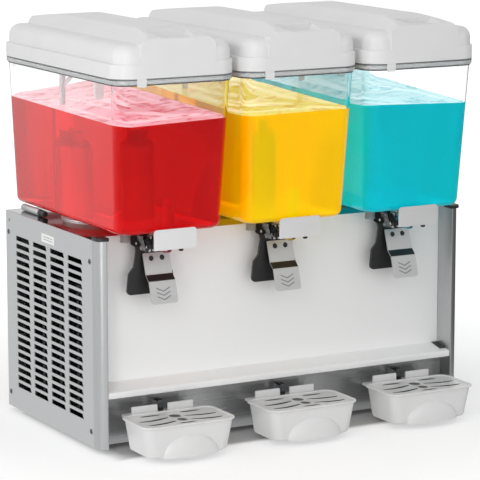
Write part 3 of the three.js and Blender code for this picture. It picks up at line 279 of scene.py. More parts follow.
floor_mesh = bpy.data.meshes.new("floor")
half_span = FLOOR_SPAN / 2
corners = [(x * half_span, y * half_span, 0) for x, y in ((-1, -1), (1, -1), (1, 1), (-1, 1))]
floor_mesh.from_pydata(corners, [], [(0, 1, 2, 3)])
floor_mesh.materials.append(floor_finish)
floor = bpy.data.objects.new("floor", floor_mesh)
scene.collection.objects.link(floor)
floor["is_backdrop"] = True
print("floor is", FLOOR_SPAN, "m wide")

# %% [markdown]
# ## Lamps
# Five soft lamps: a key at the front left, one along the left side, a broad one in front and one
# overhead. The last is a narrow upright strip that draws a thin light line on the tanks' corners.

# %% Lamps
LAMP_TARGET = Vector((0, 0, 0.3))
LAMPS = {
    "lamp_key": ((-2.1, -2.1, 1.9), (1.5, 1.5), 18),
    "lamp_side": ((-3.4, 0.9, 1.5), (1.8, 1.8), 20),
    "lamp_front": ((-0.5, -3.3, 1.4), (2.8, 2.8), 20),
    "lamp_top": ((0.2, 0.3, 3.2), (2.6, 2.6), 7.5),
    "lamp_strip": ((-1.15, -1.05, 0.42), (0.25, 0.8), 2.5),
}
for name, (place, (width, height), watts) in LAMPS.items():
    lamp_data = bpy.data.lights.new(name, "AREA")
    lamp_data.shape = "RECTANGLE"
    lamp_data.size = width
    lamp_data.size_y = height
    lamp_data.energy = watts
    lamp = bpy.data.objects.new(name, lamp_data)
    lamp.location = place
    lamp.visible_camera = False
    lamp.rotation_mode = "QUATERNION"
    lamp.rotation_quaternion = (LAMP_TARGET - Vector(place)).to_track_quat("-Z", "Y")
    scene.collection.objects.link(lamp)
print("lamps:", ", ".join(LAMPS))

# %% [markdown]
# ## Brushed stainless steel
# Most of the shell is stainless sheet, drawn along an abrasive belt, which leaves fine parallel
# lines. They are drawn about 2 mm apart here, coarser than the real 0.2 mm, because finer ones would
# vanish at this size. The lines vary the roughness and lift the tone a little. The front
# sheet and the small plates are a little less metallic than real steel, as a photographer's dulling
# spray leaves them, so that they mirror the room only softly.

# %% Brushed steel
BRUSH_ROUGHNESS = (-0.07, 0.09)
BRUSH_LIGHT = 0.16


def brushed_steel(name, code, lines_mm, roughness, metallic=1.0):
    """Stainless sheet with parallel brush lines; lines_mm is their spacing along x, y and z."""
    finish, tree, shader = new_finish(name, code, metallic, roughness)
    lines = add_node(tree, "ShaderNodeTexNoise", {"Scale": 1.0, "Detail": 3.0, "Roughness": 0.6},
                     {"Vector": object_place(tree, lines_mm)}).outputs["Fac"]
    drive(tree, shader, "Roughness", lines, *(roughness + r for r in BRUSH_ROUGHNESS))
    tint = add_node(tree, "ShaderNodeMix", {"data_type": "RGBA", 6: colour(code), 7: WHITE})
    drive(tree, tint, 0, lines, 0.0, BRUSH_LIGHT)
    tree.links.new(tint.outputs[2], shader.inputs["Base Color"])
    emboss(tree, shader, lines, 0.05)
    return finish


front_steel = brushed_steel("brushed_stainless_front", "f0f0f0", (160, 160, 2.0), 0.7, 0.7)
plate_steel = brushed_steel("brushed_stainless_plate", "c2c2c2", (60, 60, 1.5), 0.34, 0.65)
cover_steel = brushed_steel("brushed_stainless_cover", "f0f0f0", (60, 60, 1.5), 0.34, 0.65)
# Painted shade: the lower sheet is darker than the front, for the shade under the apron.
lower_steel_shaded = brushed_steel("buffed_stainless_lower_shaded", "8c8d8e", (90, 90, 3.0), 0.24, 0.75)
pillar_steel = brushed_steel("brushed_stainless_pillar", "a6a7a8", (2.0, 2.0, 160), 0.34)
drum_steel = brushed_steel("turned_stainless", "e6e8e8", (40, 40, 2.0), 0.42, 0.6)
print("brushed:", front_steel.name, pillar_steel.name)

# %% [markdown]
# ## Other metals
# The side and back sheets are satin stainless, bead-blasted, so they only cloud softly and have a
# fine grain. The deck is polished and wiped, the screws are bright zinc, the hooks are dark chrome
# and the socket's pins are nickel brass: these are smooth, and what the eye sees is that their gloss
# changes from place to place. Galvanised sheet shows its zinc crystals, the spangle.

# %% Satin, wiped and galvanised metals
satin_steel, satin_tree, satin_shader = new_finish("satin_stainless", "bdbebf", 0.85, 0.5)
clouds = add_node(satin_tree, "ShaderNodeTexNoise", {"Scale": 1.0, "Detail": 2.0},
                  {"Vector": object_place(satin_tree, (90, 90, 60))})
grain = add_node(satin_tree, "ShaderNodeTexNoise", {"Scale": 1.0, "Detail": 2.0},
                 {"Vector": object_place(satin_tree, (1.6, 1.6, 1.6))})
drive(satin_tree, satin_shader, "Roughness", clouds.outputs["Fac"], 0.44, 0.56)
emboss(satin_tree, satin_shader, grain.outputs["Fac"], 0.04)


def smooth_metal(name, code, pattern_mm, glossy, dull, detail=2.0):
    """A smooth metal whose roughness wanders between two values over pattern_mm."""
    finish, tree, shader = new_finish(name, code, 1.0, glossy)
    patches = add_node(tree, "ShaderNodeTexNoise", {"Scale": 1.0, "Detail": detail},
                       {"Vector": object_place(tree, pattern_mm)})
    drive(tree, shader, "Roughness", patches.outputs["Fac"], glossy, dull)
    return finish


mirror_steel = smooth_metal("polished_stainless", "b4b6b8", (70, 50, 12), 0.04, 0.14, 4.0)
chrome = smooth_metal("bright_zinc", "a9acaf", (1.5, 1.5, 1.5), 0.12, 0.3)
dark_chrome = smooth_metal("dark_chrome", "5c5e60", (4, 4, 4), 0.1, 0.24)
brass = smooth_metal("nickel_brass", "c9b98a", (2, 2, 2), 0.2, 0.32)

zinc_steel, zinc_tree, zinc_shader = new_finish("galvanised_steel", "8f9499", 1.0, 0.42)
spangle = add_node(zinc_tree, "ShaderNodeTexVoronoi", {"Scale": 1.0},
                   {"Vector": object_place(zinc_tree, (9, 9, 9))})
crystal = add_node(zinc_tree, "ShaderNodeSeparateColor", links={"Color": spangle.outputs["Color"]})
spangle_grey = add_node(zinc_tree, "ShaderNodeMix",
                        {"data_type": "RGBA", 6: colour("7d8287"), 7: colour("a2a7ab")},
                        {0: crystal.outputs[0]})
zinc_tree.links.new(spangle_grey.outputs[2], zinc_shader.inputs["Base Color"])
print("metals:", satin_steel.name, mirror_steel.name, zinc_steel.name)


# %% [markdown]
# ## Opaque plastics, rubber and paint
# Lids and trays are injection-moulded: the mould's own fine texture takes the mirror off the
# surface, and the white clouds very slightly where the plastic flowed. The levers, caps and feet
# are black nylon with a rougher texture. The compressor and the condenser are dipped in black
# enamel. The real texture is finer: it is drawn about 1 mm wide, so that the render can show it.

# %% Moulded plastic, rubber and enamel
FLOW_MM = 70
TEXTURE_ROUGHNESS = 0.06


def moulded(name, code, deep_code, roughness, texture_mm, bump, **constants):
    """A moulded plastic: a cloudy colour between two tones and a fine mould texture."""
    finish, tree, shader = new_finish(name, code, 0.0, roughness, **constants)
    flow = add_node(tree, "ShaderNodeTexNoise", {"Scale": 1.0, "Detail": 2.0},
                    {"Vector": object_place(tree, (FLOW_MM, FLOW_MM, FLOW_MM))})
    tone = add_node(tree, "ShaderNodeMix", {"data_type": "RGBA", 6: colour(deep_code), 7: colour(code)},
                    {0: flow.outputs["Fac"]})
    tree.links.new(tone.outputs[2], shader.inputs["Base Color"])
    texture = add_node(tree, "ShaderNodeTexNoise", {"Scale": 1.0, "Detail": 3.0},
                       {"Vector": object_place(tree, (texture_mm, texture_mm, texture_mm))}).outputs["Fac"]
    drive(tree, shader, "Roughness", texture, roughness - TEXTURE_ROUGHNESS, roughness + TEXTURE_ROUGHNESS)
    emboss(tree, shader, texture, bump)
    return finish


MATT = {"Specular_IOR_Level": 0.15}
lid_plastic = moulded("moulded_white_abs", "e8e8e8", "e0e0e0", 0.36, 1.2, 0.05)
tray_plastic = moulded("glossy_white_abs", "e6e6e6", "dfdfdf", 0.24, 1.5, 0.04)
grid_plastic = moulded("pale_grey_abs", "e0e1e1", "d6d7d7", 0.2, 1.5, 0.05)
# Grey of the grid's ovals; on the bead under the tank rim it is painted shade.
oval_grey_and_rim_shade = moulded("mid_grey_abs_and_rim_shade", "505254", "484a4c", 0.5, 1.4, 0.05)
# Painted shade for the walls under the grid's slots.
slot_shade = moulded("painted_shade_grey_abs", "3a3b3c", "333435", 0.4, 1.4, 0.05)
black_nylon = moulded("black_nylon", "1c1c1d", "161617", 0.42, 0.9, 0.12)
matt_nylon = moulded("matt_black_nylon", "121213", "0d0d0e", 0.75, 0.9, 0.12, **MATT)
# Black enamel of the compressor and condenser; on the base pan it is painted shade.
black_enamel_and_pan_shade = moulded("black_enamel_and_pan_shade", "151516", "0f0f10", 0.32, 2.0, 0.08)
# Painted shade: matt black for the louvre lips and the sheets behind the back vents.
shade_enamel = moulded("painted_shade_black", "121213", "0d0d0e", 0.75, 2.0, 0.08, **MATT)
seal_rubber = moulded("grey_silicone", "b8b4ac", "aca89f", 0.6, 1.4, 0.1)
# Painted shade: the grey line under each lid, where the rim lies in shade.
rim_shade_grey = moulded("painted_rim_shade", "7c7e80", "6c6e70", 0.5, 1.4, 0.1)
label_paper = moulded("blank_paper_label", "f3f3f1", "ececea", 0.55, 0.8, 0.04)
etch_ink = moulded("etched_mark", "86888a", "7a7c7e", 0.5, 0.8, 0.1)
knob_plastic = moulded("smoky_polypropylene", "a2a4a4", "909292", 0.3, 1.2, 0.05, Transmission_Weight=0.3)
# Real frosted plastic for the spray riser; on the pale rim band it is painted light.
frosted_plastic_and_rim_light = moulded("natural_polypropylene_and_rim_light", "f4f6f6", "eceff0", 0.2, 1.2, 0.05,
                          Transmission_Weight=0.6, IOR=1.49)
print("plastics:", lid_plastic.name, tray_plastic.name, black_nylon.name)

# %% [markdown]
# ## Clear plastic
# The bowls are moulded polycarbonate, about 3 mm thick. Light from the lamps has to reach the juice
# inside, and bending every such ray would take thousands of samples. So the shader lets rays that
# only look for a lamp pass straight on, slightly dimmed. Its mirror is toned down a little, because
# the white studio would otherwise lay a veil over the juice.


# %% Polycarbonate
VEIL_GREY = "747474"


def pass_lamp_light(tree, shader, code):
    """Lets lamp light straight through a clear piece, dimmed to the colour."""
    through = add_node(tree, "ShaderNodeBsdfTransparent", {"Color": colour(code)})
    path = add_node(tree, "ShaderNodeLightPath")
    mix = add_node(tree, "ShaderNodeMixShader",
                   links={0: path.outputs["Is Shadow Ray"], 1: shader.outputs[0], 2: through.outputs[0]})
    output = next(node for node in tree.nodes if node.type == "OUTPUT_MATERIAL")
    tree.links.new(mix.outputs[0], output.inputs["Surface"])
    return output


def clear_plastic(name, code, roughness, index, lamp_code, wave_mm, wave):
    """Clear moulded plastic with the faint waviness of a mould-filled wall."""
    finish, tree, shader = new_finish(name, code, 0.0, roughness, IOR=index, Transmission_Weight=1.0,
                                      Specular_Tint=colour(VEIL_GREY))
    waves = add_node(tree, "ShaderNodeTexNoise", {"Scale": 1.0, "Detail": 1.0},
                     {"Vector": object_place(tree, (wave_mm, wave_mm, wave_mm))})
    emboss(tree, shader, waves.outputs["Fac"], wave, 1.0)
    pass_lamp_light(tree, shader, lamp_code)
    return finish


bowl_plastic = clear_plastic("clear_polycarbonate", "feffff", 0.015, 1.5, "f4f6f6", 60, 0.05)
valve_plastic = clear_plastic("clear_valve_plastic", "eef0f0", 0.05, 1.5, "e0e2e2", 6, 0.2)
print("clear:", bowl_plastic.name, valve_plastic.name)

# %% [markdown]
# ## Juice
# Three bright squashes, each a coloured and slightly cloudy liquid. Pulp scatters part of the light,
# which gives the colour of the wall, and the rest passes and is absorbed on its way, so the drum
# inside shows as a soft shape. Faces that look sideways get a lighter tone than the narrow front, as
# painted light on the lit side, and slow clouds of pulp mix the two tones. The froth on top is pale
# and streaked, partly a painted reflection of the white lid, and a painted glow lights it and the juice.


# %% Juice
PULP_MM = (48, 48, 190)
PULP_SHARE = {"From Min": 0.38, "From Max": 0.62, "To Min": -0.4, "To Max": 0.12}
SWIRL_MM = (42, 30, 60)
STREAK_SHARE = {"From Min": 0.5, "From Max": 0.64, "To Max": 0.75}
FROTH_EDGE = {"From Min": 0.5, "From Max": 0.8}
FROTH_PAINTED_GLOW = 0.42
FROTH_CLEAR = 0.08
JUICE_DENSITY = 12.0


def juice(name, front, side, froth_and_reflection, streak, body, clear_share, painted_glow_share):
    """A squash: clear_share of the light passes; painted_glow_share is painted glow for scattered light."""
    finish, tree, shader = new_finish(name, front, 0.0, 0.03, IOR=1.34, Transmission_Weight=clear_share,
                                      Specular_IOR_Level=0.15, Specular_Tint=colour("606060"))
    geometry = add_node(tree, "ShaderNodeNewGeometry")
    facing = add_node(tree, "ShaderNodeSeparateXYZ", links={"Vector": geometry.outputs["True Normal"]})
    # Painted light: faces that look sideways get the lighter side colour, the side argument, as the lit
    # side.
    painted_light_side_share = add_node(tree, "ShaderNodeMath", {"operation": "MULTIPLY"},
                          {0: facing.outputs["X"], 1: facing.outputs["X"]})
    pulp = add_node(tree, "ShaderNodeTexNoise", {"Scale": 1.0, "Detail": 2.0},
                    {"Vector": object_place(tree, PULP_MM)})
    cloudy = add_node(tree, "ShaderNodeMapRange", PULP_SHARE, {"Value": pulp.outputs["Fac"]})
    painted_light_and_pulp = add_node(tree, "ShaderNodeMath", {"operation": "ADD", "use_clamp": True},
                      {0: painted_light_side_share.outputs[0], 1: cloudy.outputs[0]})
    tone = add_node(tree, "ShaderNodeMix", {"data_type": "RGBA", 6: colour(front), 7: colour(side)},
                    {0: painted_light_and_pulp.outputs[0]})
    swirl = add_node(tree, "ShaderNodeTexNoise", {"Scale": 1.0, "Detail": 3.0, "Distortion": 1.2},
                     {"Vector": object_place(tree, SWIRL_MM)})
    streaks = add_node(tree, "ShaderNodeMapRange", STREAK_SHARE, {"Value": swirl.outputs["Fac"]})
    # Partly painted reflection: upward faces get the pale froth colour, which also stands for the white lid
    # mirrored in the surface.
    foam = add_node(tree, "ShaderNodeMix", {"data_type": "RGBA", 6: colour(froth_and_reflection), 7: colour(streak)},
                    {0: streaks.outputs[0]})
    top_share = add_node(tree, "ShaderNodeMapRange", FROTH_EDGE, {"Value": facing.outputs["Z"]}).outputs[0]
    surface = add_node(tree, "ShaderNodeMix", {"data_type": "RGBA"},
                       {0: top_share, 6: tone.outputs[2], 7: foam.outputs[2]})
    for socket in ("Base Color", "Emission Color"):
        tree.links.new(surface.outputs[2], shader.inputs[socket])
    # Painted glow: the juice glows faintly and its froth more, in place of light scattered within.
    drive(tree, shader, "Emission Strength", top_share, painted_glow_share, FROTH_PAINTED_GLOW)
    drive(tree, shader, "Transmission Weight", top_share, clear_share, FROTH_CLEAR)
    output = pass_lamp_light(tree, shader, body)
    depth = add_node(tree, "ShaderNodeVolumeAbsorption", {"Color": colour(body), "Density": JUICE_DENSITY})
    tree.links.new(depth.outputs[0], output.inputs["Volume"])
    return finish


JUICES = {
    1: juice("strawberry_squash", "d0040c", "f21c22", "ffb4c2", "d01e30", "fc1a1a", 0.74, 0.07),
    2: juice("orange_squash", "ffea00", "ffbe00", "fff07a", "f0b800", "fff008", 0.64, 0.14),
    3: juice("blue_squash", "00ccde", "00d8ce", "bff0f6", "4cc4d2", "19f9fb", 0.64, 0.12),
}
print("juices:", ", ".join(finish.name for finish in JUICES.values()))

# %% [markdown]
# ## Helpers for outlines
# Sheet parts are outlines pushed along an axis, vessels are skins through rings, and turned parts
# are profiles swept round an axis. An outline is a plain list of points in millimetres, with the
# corners rounded where the real sheet or moulding is.


# %% Outlines
MOST_OF_EDGE = 0.49
SHARPEST = 0.3


def arc(a, b, radius, start, end, steps):
    """Points on an arc, with the angles in degrees."""
    turns = [math.radians(start + (end - start) * i / steps) for i in range(steps + 1)]
    return [(a + radius * math.cos(t), b + radius * math.sin(t)) for t in turns]


def rounded(points, radius, steps=5, closed=True):
    """The outline with its corners turned to arcs; radius is one number, or one for each corner."""
    made = []
    count = len(points)
    for i, point in enumerate(points):
        r = radius[i] if isinstance(radius, (list, tuple)) else radius
        corner = Vector(point)
        if r == 0 or (not closed and i in (0, count - 1)):
            made.append(tuple(corner))
            continue
        to_last = Vector(points[i - 1]) - corner
        to_next = Vector(points[(i + 1) % count]) - corner
        half_angle = to_last.angle(to_next) / 2
        reach = min(r / math.tan(half_angle), MOST_OF_EDGE * to_last.length, MOST_OF_EDGE * to_next.length)
        r = reach * math.tan(half_angle)
        to_last.normalize()
        to_next.normalize()
        centre = corner + (to_last + to_next).normalized() * (r / math.sin(half_angle))
        first = corner + to_last * reach - centre
        sweep = first.angle_signed(corner + to_next * reach - centre)
        for step in range(steps + 1):
            turn = Matrix.Rotation(-sweep * step / steps, 2)
            made.append(tuple(centre + turn @ first))
    return made


def box_outline(a0, a1, b0, b1):
    """A rectangle from its two extents."""
    return [(a0, b0), (a1, b0), (a1, b1), (a0, b1)]


def sheet_outline(path, thickness):
    """A bent sheet seen from its edge: the path and its copy, moved to the left by the thickness."""
    copied = []
    for i, point in enumerate(path):
        before = Vector(path[max(i - 1, 0)])
        after = Vector(path[min(i + 1, len(path) - 1)])
        here = Vector(point)
        first = (here - before).normalized() if i > 0 else (after - here).normalized()
        second = (after - here).normalized() if i + 1 < len(path) else first
        along = (first + second).normalized()
        side = Vector((-along.y, along.x))
        copied.append(tuple(here + side * (thickness / max(SHARPEST, along.dot(first)))))
    return list(path) + copied[::-1]


print("a round-cornered square has", len(rounded(box_outline(0, 9, 0, 9), 2)), "points")

# %% [markdown]
# ## Helpers for solids
# Each of these gives a list of points and a list of faces in millimetres, so that solids can be
# joined, moved or cut before anything becomes a Blender mesh.


# %% Solids from outlines
def laid_out(points_2d, axis, offset):
    """Flat points set up across an axis: (y, z) along x, (x, z) along y or (x, y) along z."""
    if axis == "x":
        return [(offset, a, b) for a, b in points_2d]
    if axis == "y":
        return [(a, offset, b) for a, b in points_2d]
    return [(a, b, offset) for a, b in points_2d]


def pushed(outline, axis, low, high):
    """An outline pushed along an axis."""
    count = len(outline)
    points = laid_out(outline, axis, low) + laid_out(outline, axis, high)
    faces = [tuple(range(count))[::-1], tuple(range(count, 2 * count))]
    faces += [(i, (i + 1) % count, count + (i + 1) % count, count + i) for i in range(count)]
    return points, faces


def skin(rings, low_cap=True, high_cap=True):
    """A skin through rings of equal length."""
    count = len(rings[0])
    points = [p for ring in rings for p in ring]
    faces = []
    for level in range(len(rings) - 1):
        low, high = level * count, (level + 1) * count
        faces += [(low + i, low + (i + 1) % count, high + (i + 1) % count, high + i) for i in range(count)]
    if low_cap:
        faces.append(tuple(range(count))[::-1])
    if high_cap:
        last = (len(rings) - 1) * count
        faces.append(tuple(range(last, last + count)))
    return points, faces


def turned(profile, centre, axis="z", steps=48):
    """A profile of (radius, height) swept round an axis through centre, with poles on the axis."""
    order = {"x": (2, 0, 1), "y": (1, 2, 0), "z": (0, 1, 2)}[axis]
    points, rows = [], []
    for radius, height in profile:
        turns = [0.0] if radius < 0.001 else [2 * math.pi * i / steps for i in range(steps)]
        rows.append(range(len(points), len(points) + len(turns)))
        for t in turns:
            local = (radius * math.cos(t), radius * math.sin(t), height)
            points.append(tuple(local[k] + c for k, c in zip(order, centre)))
    faces = []
    for low, high in zip(rows, rows[1:]):
        for i in range(steps):
            j = (i + 1) % steps
            if len(low) == 1 and len(high) > 1:
                faces.append((low[0], high[j], high[i]))
            elif len(high) == 1 and len(low) > 1:
                faces.append((low[i], low[j], high[0]))
            elif len(low) > 1:
                faces.append((low[i], low[j], high[j], high[i]))
    return points, faces


def vessel_ring(half, front, rear, radius, z, steps=8):
    """One level of a box-like vessel with round upright corners."""
    ring = []
    for a, b, start in ((half - radius, front + radius, -90), (half - radius, rear - radius, 0),
                        (radius - half, rear - radius, 90), (radius - half, front + radius, 180)):
        ring += [(x, y, z) for x, y in arc(a, b, radius, start, start + 90, steps)]
    return ring


def tube(points, radius, steps=16):
    """A round tube along a list of points, with flat ends."""
    path = [Vector(p) for p in points]
    rings = []
    side = None
    for i, here in enumerate(path):
        along = (path[min(i + 1, len(path) - 1)] - path[max(i - 1, 0)]).normalized()
        if side is None:
            side = along.orthogonal().normalized()
        side = (side - along * side.dot(along)).normalized()
        other = along.cross(side)
        turns = [2 * math.pi * k / steps for k in range(steps)]
        rings.append([tuple(here + (side * math.cos(t) + other * math.sin(t)) * radius) for t in turns])
    return skin(rings)


def together(*parts):
    """Several solids as one list of points and faces."""
    points, faces = [], []
    for part_points, part_faces in parts:
        start = len(points)
        points += list(part_points)
        faces += [tuple(i + start for i in face) for face in part_faces]
    return points, faces


def moved(part, x=0.0, y=0.0, z=0.0):
    """The solid shifted to another place."""
    points, faces = part
    return [(a + x, b + y, c + z) for a, b, c in points], faces


print("a turned peg has", len(turned([(0, 0), (5, 0), (5, 9), (0, 9)], (0, 0, 0))[1]), "faces")


# %% [markdown]
# ## From lists to pieces
# `form` makes a mesh in metres with its faces pointing out. `cut` uses Blender's exact boolean for
# slots and holes, and gives a plain mesh back. `show` names the piece, gives it its finish and its
# body, and where an edge width is given it rounds the sharp edges a little, as every pressed or
# moulded edge is in real life.

# %% Meshes and pieces
MERGE = 1e-6
BEVEL_ANGLE = math.radians(40)


def outward_mesh(points, faces, merge=0.0):
    """A mesh from points in metres, with its faces pointing out."""
    mesh = bpy.data.meshes.new("form")
    mesh.from_pydata(points, [], faces)
    shape = bmesh.new()
    shape.from_mesh(mesh)
    if merge:
        bmesh.ops.remove_doubles(shape, verts=shape.verts, dist=merge)
    bmesh.ops.recalc_face_normals(shape, faces=shape.faces)
    shape.to_mesh(mesh)
    shape.free()
    return mesh


def form(part):
    """A mesh in the frame, in metres, from points and faces in millimetres."""
    points, faces = part
    return outward_mesh([at(*p) for p in points], faces, MERGE)


def plain_mesh(source):
    """The object's evaluated shape as a mesh of its own."""
    bpy.context.view_layer.update()
    graph = bpy.context.evaluated_depsgraph_get()
    return bpy.data.meshes.new_from_object(source.evaluated_get(graph))


def cut(mesh, *tools, how="DIFFERENCE"):
    """The mesh after an exact boolean with each tool, given as points and faces or as a mesh."""
    worked = bpy.data.objects.new("worked", mesh)
    scene.collection.objects.link(worked)
    helpers = []
    for tool in tools:
        tool_mesh = tool if isinstance(tool, bpy.types.Mesh) else form(tool)
        helper = bpy.data.objects.new("tool", tool_mesh)
        scene.collection.objects.link(helper)
        helpers.append(helper)
        step = worked.modifiers.new("cut", "BOOLEAN")
        step.operation = how
        step.solver = "EXACT"
        step.object = helper
    result = plain_mesh(worked)
    for used in (worked, *helpers):
        bpy.data.objects.remove(used)
    return result


def show(name, mesh, finish, body, slot, stands_for=(), edge_mm=0.0, segments=2, sharp=32):
    """A finished piece that rides on its body; edges over sharp degrees stay crisp."""
    mesh = mesh if isinstance(mesh, bpy.types.Mesh) else form(mesh)
    mesh.name = name
    mesh.materials.clear()
    mesh.materials.append(finish)
    mesh.shade_smooth()
    mesh.set_sharp_from_angle(angle=math.radians(sharp))
    piece = bpy.data.objects.new(name, mesh)
    scene.collection.objects.link(piece)
    if edge_mm:
        edge = piece.modifiers.new("edge", "BEVEL")
        edge.width = edge_mm * MM
        edge.segments = segments
        edge.limit_method = "ANGLE"
        edge.angle_limit = BEVEL_ANGLE
        edge.harden_normals = True
    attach(piece, body)
    if stands_for:
        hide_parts(*stands_for)
    return piece


def show_at_stations(name, mesh, finish, body, slot, stands_for=None, **options):
    """The same piece at each of the three stations, with the station's number in its names."""
    base = mesh if isinstance(mesh, bpy.types.Mesh) else form(mesh)
    for number, x in STATIONS.items():
        copy = base.copy()
        copy.transform(Matrix.Translation((x * MM, 0, 0)))
        nodes = (f"{stands_for}_{number}",) if stands_for else ()
        show(f"{name}_{number}", copy, finish, body.format(number), slot, nodes, **options)


def dress(node_name, finish):
    """Gives a solid of the CAD model a finish and keeps its shape."""
    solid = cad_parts[node_name]
    solid.data.materials.clear()
    solid.data.materials.append(finish)


# %% [markdown]
# ## Repeats with Geometry Nodes
# Louvre lips, vent hoods and screws are one small shape repeated in rows. A node tree does that: the
# object's own mesh is the unit, two mesh lines make the grid of points, and each instance may turn
# a little about one axis, as hand-driven screws do. The result is turned into a plain mesh.


# %% A node tree for rows and columns
def repeat_tree(finish):
    """A tree that repeats its object's mesh in columns and rows, and the identifiers of its inputs."""
    tree = bpy.data.node_groups.new("repeat_" + finish.name, "GeometryNodeTree")
    sockets = {}
    wanted = (("Unit", "Geometry", None), ("Columns", "Int", 1), ("Rows", "Int", 1),
              ("Column Step", "Vector", (0, 0, 0)), ("Row Step", "Vector", (0, 0, 0)),
              ("Origin", "Vector", (0, 0, 0)), ("Turn", "Vector", (0, 0, 0)), ("Seed", "Int", 7))
    for name, kind, value in wanted:
        socket = tree.interface.new_socket(name, in_out="INPUT", socket_type="NodeSocket" + kind)
        if value is not None:
            socket.default_value = value
        sockets[name] = socket.identifier
    tree.interface.new_socket("Geometry", in_out="OUTPUT", socket_type="NodeSocketGeometry")
    given = add_node(tree, "NodeGroupInput").outputs
    column = add_node(tree, "GeometryNodeMeshLine", links={
        "Count": given["Columns"], "Start Location": given["Origin"], "Offset": given["Column Step"]})
    row = add_node(tree, "GeometryNodeMeshLine", links={"Count": given["Rows"], "Offset": given["Row Step"]})
    lattice = add_node(tree, "GeometryNodeInstanceOnPoints", links={
        "Points": row.outputs[0], "Instance": column.outputs[0]})
    points = add_node(tree, "GeometryNodeRealizeInstances", links={"Geometry": lattice.outputs[0]})
    least = add_node(tree, "ShaderNodeVectorMath", {"operation": "SCALE", "Scale": -1.0}, {0: given["Turn"]})
    turn = add_node(tree, "FunctionNodeRandomValue", {"data_type": "FLOAT_VECTOR"},
                    {0: least.outputs[0], 1: given["Turn"], "Seed": given["Seed"]})
    placed = add_node(tree, "GeometryNodeInstanceOnPoints", links={
        "Points": points.outputs[0], "Instance": given["Unit"], "Rotation": turn.outputs[0]})
    real = add_node(tree, "GeometryNodeRealizeInstances", links={"Geometry": placed.outputs[0]})
    dressed = add_node(tree, "GeometryNodeSetMaterial", {"Material": finish}, {"Geometry": real.outputs[0]})
    add_node(tree, "NodeGroupOutput", links={0: dressed.outputs[0]})
    return tree, sockets


def repeated(unit, finish, origin, columns, column_step, rows=1, row_step=(0, 0, 0), turn=(0, 0, 0), seed=7):
    """The unit, drawn round (0, 0, 0) in millimetres, repeated in the frame as one plain mesh."""
    points, faces = unit
    holder = bpy.data.objects.new("holder", outward_mesh([Vector(p) * MM for p in points], faces))
    scene.collection.objects.link(holder)
    tree, sockets = repeat_tree(finish)
    modifier = holder.modifiers.new("repeat", "NODES")
    modifier.node_group = tree
    values = {"Columns": columns, "Rows": rows, "Column Step": Vector(column_step) * MM,
              "Row Step": Vector(row_step) * MM, "Origin": at(*origin), "Turn": Vector(turn), "Seed": seed}
    for name, value in values.items():
        modifier[sockets[name]] = value
    result = plain_mesh(holder)
    holder.modifiers.clear()
    bpy.data.objects.remove(holder)
    return result


print("a repeat tree is ready")

# %% [markdown]
# ## Screws
# A pan-head screw is a low dome with a cross recess. The dome is turned, the cross is cut once into
# the unit, and the node tree puts it in the corners of each panel with its own random turn.


# %% Pan-head screw unit
DOME_SHARES = ((1.0, 0.3), (0.86, 0.72), (0.55, 0.95))
CROSS_ARM_SHARE = 0.58
CROSS_WIDTH_SHARE = 0.14
CROSS_DEPTH_SHARE = 0.75
SCREW_SUNK = 0.4
SIDE_SCREW = (4.2, 0.9)
BACK_SCREW = (3.6, 1.8)


def as_lists(mesh):
    """A mesh made in the frame, back as points round (0, 0, 0) in millimetres."""
    shift = Vector((0, ROW_SHIFT, 0))
    points = [tuple(v.co / MM - shift) for v in mesh.vertices]
    return points, [tuple(face.vertices) for face in mesh.polygons]


def screw_unit(radius, rise, axis, side):
    """A dome of the radius that rises from 0 towards side on the axis, with a cross recess."""
    profile = [(0, -SCREW_SUNK), (radius, -SCREW_SUNK)]
    profile += [(radius * r, rise * h) for r, h in DOME_SHARES] + [(0, rise)]
    dome = turned([(r, side * h) for r, h in profile], (0, 0, 0), axis, 20)
    arm, width = radius * CROSS_ARM_SHARE, radius * CROSS_WIDTH_SHARE
    low, high = sorted((side * rise * (1 - CROSS_DEPTH_SHARE), side * (rise + 1)))
    blades = [pushed(box_outline(-arm, arm, -width, width), axis, low, high),
              pushed(box_outline(-width, width, -arm, arm), axis, low, high)]
    return as_lists(cut(form(dome), *blades))


side_screw = {side: screw_unit(*SIDE_SCREW, "x", side) for side in (1, -1)}
back_screw = screw_unit(*BACK_SCREW, "y", 1)
print("faces in one screw:", len(side_screw[1][1]))

# %% [markdown]
# ## Side panels
# Each side is one satin stainless sheet with four columns of twenty slots. The press tool leaves a
# slot upright at the rear and raked at the front. The sheet is laid out as flat cells round the
# slots and then thickened, which keeps every edge clean. A lip folds inwards from each slot's top,
# matt black as painted shade, and it is what makes the slots look black at a low angle.

# %% Side panels with louvres
SHEET = 1.5
SIDE_FACE = 315.0
SIDE_FRONT = 20.3
SIDE_REAR = 330.0
SIDE_LOW = 8.0
SIDE_HIGH = 320.0
SLOT_COLUMNS = 4
SLOT_PITCH = 62.5
SLOT_FRONTS = [54.6 + SLOT_PITCH * c for c in range(SLOT_COLUMNS)]
SLOT_LENGTH = 50.0
SLOT_HEIGHT = 7.5
SLOT_ROWS = 20
SLOT_BASE = 44.0
SLOT_LAST = 277.5
SLOT_STEP = (SLOT_LAST - SLOT_BASE) / (SLOT_ROWS - 1)
SLOT_RAKE = 4.0
LIP_PATH = ((0.0, 0.0), (2.2, -0.5), (4.6, -2.6), (6.0, -5.2))
LIP_SHEET = 0.7
LIP_SEAT = 0.3
SIDE_SCREW_FRONT, SIDE_SCREW_LOW = 29.5, 31.0
SIDE_SCREW_SPAN, SIDE_SCREW_RISE = 291.0, 256.0


